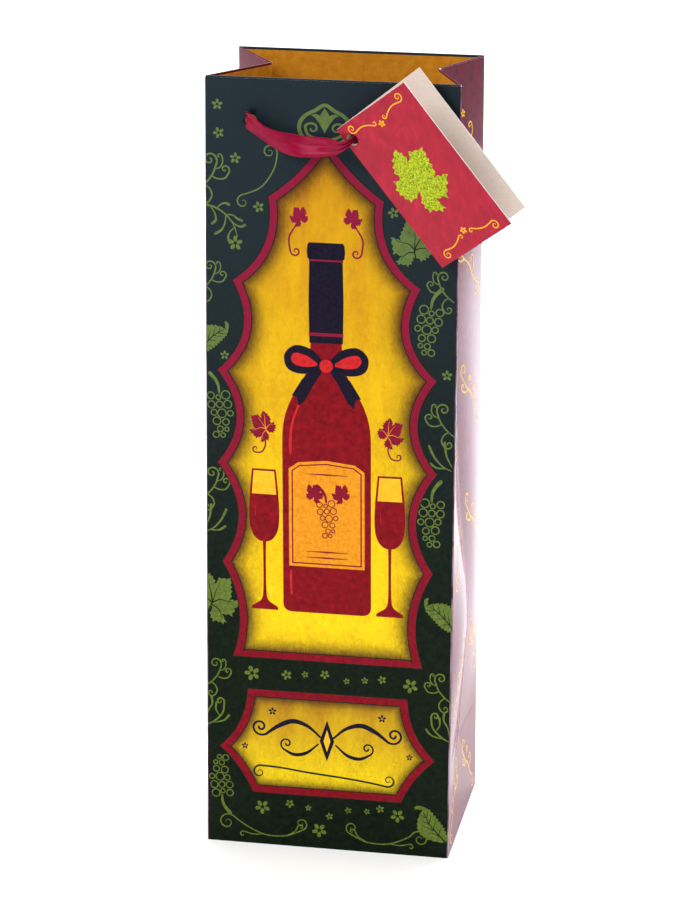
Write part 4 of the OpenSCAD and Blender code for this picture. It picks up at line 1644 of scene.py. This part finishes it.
def knot(name, c, body, flip=1):
    """Overhand knot of the gathered ribbon; its loose end is made by loose_end."""
    n = 110
    R = 1.5
    pts = []
    for k in range(n):
        t = 2 * pi * k / n
        x = sin(t) + 2 * sin(2 * t)
        y = cos(t) - 2 * cos(2 * t)
        z = -sin(3 * t)
        pts.append(Vector((c[0] + x * 0.86, c[1] + z * 1.25 * flip, c[2] + y * 0.92)))
    verts, faces = [], []
    seg = 12
    uvm = []
    for k in range(n):
        a, b = pts[k - 1], pts[(k + 1) % n]
        t = (b - a).normalized()
        w = Vector((0, 1, 0)) - t * t.y
        w.normalize()
        q = t.cross(w)
        for j in range(seg):
            g = 2 * pi * j / seg
            rr = R * (1 + 0.13 * sin(3 * g + k * 0.25))
            verts.append(pts[k] + w * (rr * 0.8 * cos(g)) + q * (rr * 1.0 * sin(g)))
            uvm.append((j / seg, k * 0.06))
    for k in range(n):
        k2 = (k + 1) % n
        for j in range(seg):
            j2 = (j + 1) % seg
            faces.append((k * seg + j, k * seg + j2, k2 * seg + j2, k2 * seg + j))
    ob = add_object(name, verts, faces, [M_SATIN])
    uv = ob.data.uv_layers.new(name="ribbon")
    for lp in ob.data.loops:
        uv.data[lp.index].uv = uvm[lp.vertex_index]
    return ob


def join(name, obs):
    verts, faces, uvm = [], [], []
    for o in obs:
        base = len(verts)
        me = o.data
        verts += [tuple(v.co / MM) for v in me.vertices]
        layer = me.uv_layers["ribbon"].data
        for p in me.polygons:
            faces.append(tuple(base + i for i in p.vertices))
            uvm.append([tuple(layer[i].uv) for i in p.loop_indices])
    ob = add_object(name, verts, faces, [M_SATIN], recalc=False)
    uv = ob.data.uv_layers.new(name="ribbon")
    for p, u in zip(ob.data.polygons, uvm):
        for i, q in zip(p.loop_indices, u):
            uv.data[i].uv = q
    for o in obs:
        me = o.data
        bpy.data.objects.remove(o)
        bpy.data.meshes.remove(me)
    return ob


def inner_end(side, f, zk, tag):
    """Ribbon from its hole down the inside to the knot, on wall f."""
    wy = half_depth(HOLE_Z)
    x = side * HOLE_X
    rows = [
        (x, f * (wy - 0.4), HOLE_Z, 1.5, 0.0, 0.60, 0.0),
        (x, f * (wy - 1.9), HOLE_Z - 0.1, 1.7, 0.0, 0.60, 0.0),
        (x, f * (wy - 3.0), HOLE_Z - 1.4, 2.1, 0.0, 0.50, 0.1),
        (x + side * 0.1, f * (wy - 3.4), HOLE_Z - 4.0, 2.7, 0.1, 0.35, 0.2),
    ]
    far = HOLE_Z - zk
    if far > 40:
        rows += [
            (x + side * 0.4, f * (wy - 3.5), HOLE_Z - 12, 3.8, 0.2, 0.15, 0.5),
            (x + side * 0.7, f * (wy - 3.4), HOLE_Z - 24, 4.3, -0.05, 0.06, 0.6),
            (x + side * 0.6, f * (wy - 3.4), HOLE_Z - 38, 4.3, -0.25, 0.06, 0.6),
            (x + side * 0.8, f * (wy - 3.3), zk + 9, 3.2, -0.1, 0.25, 0.4),
        ]
    else:
        rows += [(x + side * 0.5, f * (wy - 3.4), HOLE_Z - 12, 3.4, 0.1, 0.22, 0.3)]
    rows += [(x + side * 0.8, f * (wy - 3.3), zk + 4.0, 1.9, 0.0, 0.55, 0.0), (x + side * 0.8, f * (wy - 3.3), zk + 1.0, 1.5, 0.0, 0.6, 0.0)]
    return ribbon(tag, rows, step=0.8, across=14, wdir=lambda s, t: Vector((1, 0, 0)))


def loose_end(side, f, zk, tag):
    wy = half_depth(HOLE_Z)
    x = side * (HOLE_X + 0.8)
    rows = [(x, f * (wy - 3.3), zk - 1.0, 1.5, 0.0, 0.55, 0.0), (x + side * 0.2, f * (wy - 3.3), zk - 4.4, 2.2, 0.1, 0.4, 0.0),
            (x + side * 0.5, f * (wy - 3.5), zk - 8.0, 3.4, 0.2, 0.16, 0.2), (x + side * 0.9, f * (wy - 3.7), zk - 11.8, 4.2, 0.3, 0.05, 0.3)]
    return ribbon(tag, rows, step=0.7, across=14, wdir=lambda s, t: Vector((1, 0, 0)))[0]


ZK = {-1: HOLE_Z - 62, 1: HOLE_Z - 30}
for f, word in ((-1, "front"), (1, "back")):
    tails, kn = [], []
    for side, w2 in ((-1, "left"), (1, "right")):
        t_ob, t_line, t_len = inner_end(side, f, ZK[f], f"{word}_ribbon_inside_{w2}")
        k_ob = join(f"{word}_knot_{w2}", [knot("k", ((side * (HOLE_X + 0.8)), f * (half_depth(HOLE_Z) - 3.3), ZK[f]), "bag", -f),
                                          loose_end(side, f, ZK[f], "e")])
        for o in (t_ob, k_ob):
            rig.ride(o, "bag")
            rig.slot(o, "satin_ribbon")
        print(word, w2, "inner length", t_len)
        if f < 0:
            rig.cord(t_ob, exit=t_line[0], length=t_len, diameter=0.0095, far_end="knot", stiffness="limp", lay="hanging",
                    path=t_line, with_pieces=[k_ob])
        tails.append(t_ob)
        kn.append(k_ob)
    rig.replaces(tails[0], f"{word}_ribbon_tails")
    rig.replaces(kn[0], f"{word}_knots")

BACK_HALF = [
    (-36.0, 35.2, 342.0, 1.5, 0.0, 0.60, 0.0), (-36.0, 36.9, 341.8, 1.7, 0.0, 0.60, 0.0), (-36.1, 38.0, 340.4, 1.9, 0.0, 0.55, 0.1),
    (-36.2, 38.9, 337.6, 2.4, 0.0, 0.45, 0.2), (-36.0, 39.5, 331.0, 3.4, 0.1, 0.22, 0.5), (-35.0, 40.0, 320.0, 4.3, 0.2, 0.07, 0.6),
    (-33.0, 40.4, 309.0, 4.5, 0.35, 0.04, 0.5), (-29.5, 40.8, 298.0, 4.6, 0.5, 0.03, 0.4), (-24.5, 41.2, 289.0, 4.6, 0.65, 0.03, 0.3),
    (-17.5, 41.6, 281.5, 4.6, 0.8, 0.03, 0.3), (-9.0, 41.9, 277.0, 4.6, 0.9, 0.03, 0.3), (0.0, 42.0, 275.5, 4.6, 0.95, 0.03, 0.3)]
BACK = BACK_HALF + [(-p[0], p[1], p[2], p[3], p[4], p[5], p[6]) for p in reversed(BACK_HALF[:-1])]
back_ribbon, bline, blen = ribbon("back_ribbon_loop", BACK, step=0.8, wdir=lambda s, t: t.cross(Vector((0, -1, 0))))
print("back ribbon length", blen)
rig.blend(back_ribbon, "bag", "back_handle", start=(0, 0.0364, 0.342), end=(0, 0.0390, 0.342))
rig.replaces(back_ribbon, "back_ribbon")
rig.slot(back_ribbon, "satin_ribbon")
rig.cord(back_ribbon, exit=bline[0], length=blen, diameter=0.0095, far_end="object", stiffness="limp", lay="hanging", path=bline)

# ---------------------------------------------------------------- tag
TILT, OPEN = radians(38.5), radians(25)
TW, TL, TT = 46.0, 76.0, 0.35
S1 = Vector(JOINT["tag_cover_fold"]["pos_m"]) / MM
S1 = Vector((S1.x, S1.y + TT, S1.z))
PLACE = Matrix.Translation(S1) @ Matrix.Rotation(-TILT, 4, "Y")
PLACE_COVER = PLACE @ Matrix.Translation(Vector((0, -TT, 0))) @ Matrix.Rotation(-OPEN, 4, "Z")


def leaf_bow(a, b, k):
    """Soft curl of a leaf: a across from the fold, b down along it."""
    return k * sin(pi * clamp(a / TW)) + 0.25 * k * sin(pi * clamp(b / TL)) * clamp(a / TW)


def leaf_surface(M, k, outer):
    """Point on the leaf's outer (towards the viewer) or inner face."""
    def place(a, b, lift):
        y = -leaf_bow(a, b, k) + (-(TT + lift) if outer else lift)
        p = M @ Vector((a, y, -b))
        return (p.x, p.y, p.z)
    return place


def build_leaf(name, M, k, front_mat, back_mat, start=0.0):
    na, nb = 26, 40
    out, inn = leaf_surface(M, k, True), leaf_surface(M, k, False)
    along = [start] + [TW * i / na for i in range(1, na + 1)]
    verts = [out(along[i], TL * j / nb, 0) for j in range(nb + 1) for i in range(na + 1)]
    B = len(verts)
    verts += [inn(along[i], TL * j / nb, 0) for j in range(nb + 1) for i in range(na + 1)]
    c = na + 1
    faces, fm = [], []
    for j in range(nb):
        for i in range(na):
            q = j * c + i
            faces.append((q, q + c, q + c + 1, q + 1))
            fm.append(0)
            faces.append((B + q, B + q + 1, B + q + c + 1, B + q + c))
            fm.append(1)
    for i in range(na):
        faces.append((i, i + 1, B + i + 1, B + i))
        fm.append(2)
        q = nb * c + i
        faces.append((q + 1, q, B + q, B + q + 1))
        fm.append(2)
    for j in range(nb):
        q = j * c
        faces.append((q + c, q, B + q, B + q + c))
        fm.append(2)
        q = j * c + na
        faces.append((q, q + c, B + q + c, B + q))
        fm.append(2)
    ob = add_object(name, verts, faces, [front_mat, back_mat, M_EDGE], fm)
    sharpen(ob, 40)
    h = M @ Vector((4, 0, -7.5))
    ax = M.to_3x3() @ Vector((0, 1, 0))
    drill(ob, [(h, ax, 2.8, 2)], M_EDGE)
    return ob


tag_back = build_leaf("tag_back_leaf", PLACE, 0.15, M_TAG_IN, M_TAG_RED)
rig.ride(tag_back, "tag")
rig.replaces(tag_back, "tag_back")
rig.slot(tag_back, "tag_card")
tag_cover = build_leaf("tag_cover_leaf", PLACE_COVER, 0.5, M_TAG_RED, M_TAG_IN, start=0.04)
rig.ride(tag_cover, "tag_cover")
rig.replaces(tag_cover, "tag_cover")
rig.slot(tag_cover, "tag_print")


def tag_art():
    """Drawn with x across the leaf from the fold and z up from its lower end."""
    A = Art()
    grape_leaf(A, 20.6, 38.0, 1.0, 0, False, "leaf", None, 0)
    for sz, z0 in ((1, 7.6), (-1, TL - 7.6)):
        for sx in (-1, 1):
            cx = TW / 2
            ccw = (sx * sz) > 0
            A.stroke(scroll([(cx + sx * 4.0, z0 + sz * 0.4), (cx + sx * 7.0, z0 - sz * 1.4), (cx + sx * 10.8, z0 - sz * 2.4), (cx + sx * 15.2, z0 - sz * 1.8)],
                            2.3, 1.35, not ccw, 1.2, 1.0, ccw), taper(0.52), "yellow", 0)
        flower(A, TW / 2, z0 + sz * 1.4, 1.7, "yellow", layer=1)
    return A


cover_pt = leaf_surface(PLACE_COVER, 0.5, True)
tp = lay_art(tag_art(), "tag_cover_print", lambda x, z, lift: cover_pt(x, TL - z, lift), limit=3.0,
             keep=[(0.6, 0, -1, 0), (TW - 0.6, 0, 1, 0), (0, 0.6, 0, -1), (0, TL - 0.6, 0, 1)])
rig.ride(tp, "tag_cover")
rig.slot(tp, "tag_print")

# ---------------------------------------------------------------- carried-over CAD plates
for node, mat in (("seam_lap", M_INSIDE), ("base_flap_front", M_GREEN), ("base_flap_rear", M_GREEN), ("base_tuck_left", M_INSIDE),
                  ("base_tuck_right", M_INSIDE), ("base_card", M_BOARD), ("front_top_card", M_BOARD), ("back_top_card", M_BOARD)):
    ob = frame["nodes"][node]
    ob = ob if hasattr(ob, "data") else bpy.data.objects[node]
    ob.data.materials.clear()
    ob.data.materials.append(mat)

# ---------------------------------------------------------------- floor, light
bm = bmesh.new()
bmesh.ops.create_grid(bm, x_segments=2, y_segments=2, size=12)
me = bpy.data.meshes.new("floor")
bm.to_mesh(me)
bm.free()
floor = bpy.data.objects.new("floor", me)
scene.collection.objects.link(floor)
m, nt, b = new_material("floor")
b.inputs["Base Color"].default_value = (0.93, 0.93, 0.94, 1)
b.inputs["Roughness"].default_value = 0.9
b.inputs["Specular IOR Level"].default_value = 0.1
floor.data.materials.append(m)
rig.stage(floor)

world = bpy.data.worlds.new("world")
scene.world = world
world.use_nodes = True
bg = world.node_tree.nodes["Background"]
bg.inputs[0].default_value = (1.0, 1.0, 1.0, 1)
bg.inputs[1].default_value = 0.62


def area(name, loc, target, size, power, colour=(1, 1, 1)):
    ld = bpy.data.lights.new(name, "AREA")
    ld.shape = "RECTANGLE"
    ld.size, ld.size_y = size
    ld.energy = power
    ld.color = colour
    o = bpy.data.objects.new(name, ld)
    scene.collection.objects.link(o)
    o.location = loc
    d = Vector(target) - Vector(loc)
    o.rotation_euler = d.to_track_quat("-Z", "Y").to_euler()
    return o


area("key", (-1.0, -1.2, 1.4), (0.05, -0.05, 0.12), (0.8, 0.8), 26)
area("back_wash", (-0.25, 1.5, 1.5), (-0.1, 1.0, 0), (1.5, 1.5), 42)
area("right_box", (0.62, 1.0, 0.48), (0.3, 0.5, 0), (0.5, 0.36), 27, (0.90, 0.91, 1.0))
area("top_box", (0.1, -0.1, 1.9), (0.1, 0, 0), (1.2, 1.2), 12)

scene.view_settings.view_transform = "Standard"
scene.view_settings.look = "None"
scene.view_settings.exposure = 0.0

with open("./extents.json", "w") as fh:
    json.dump({"cad": CAD_BOX, "visual": [list(map(float, v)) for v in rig.bounds()]}, fh)
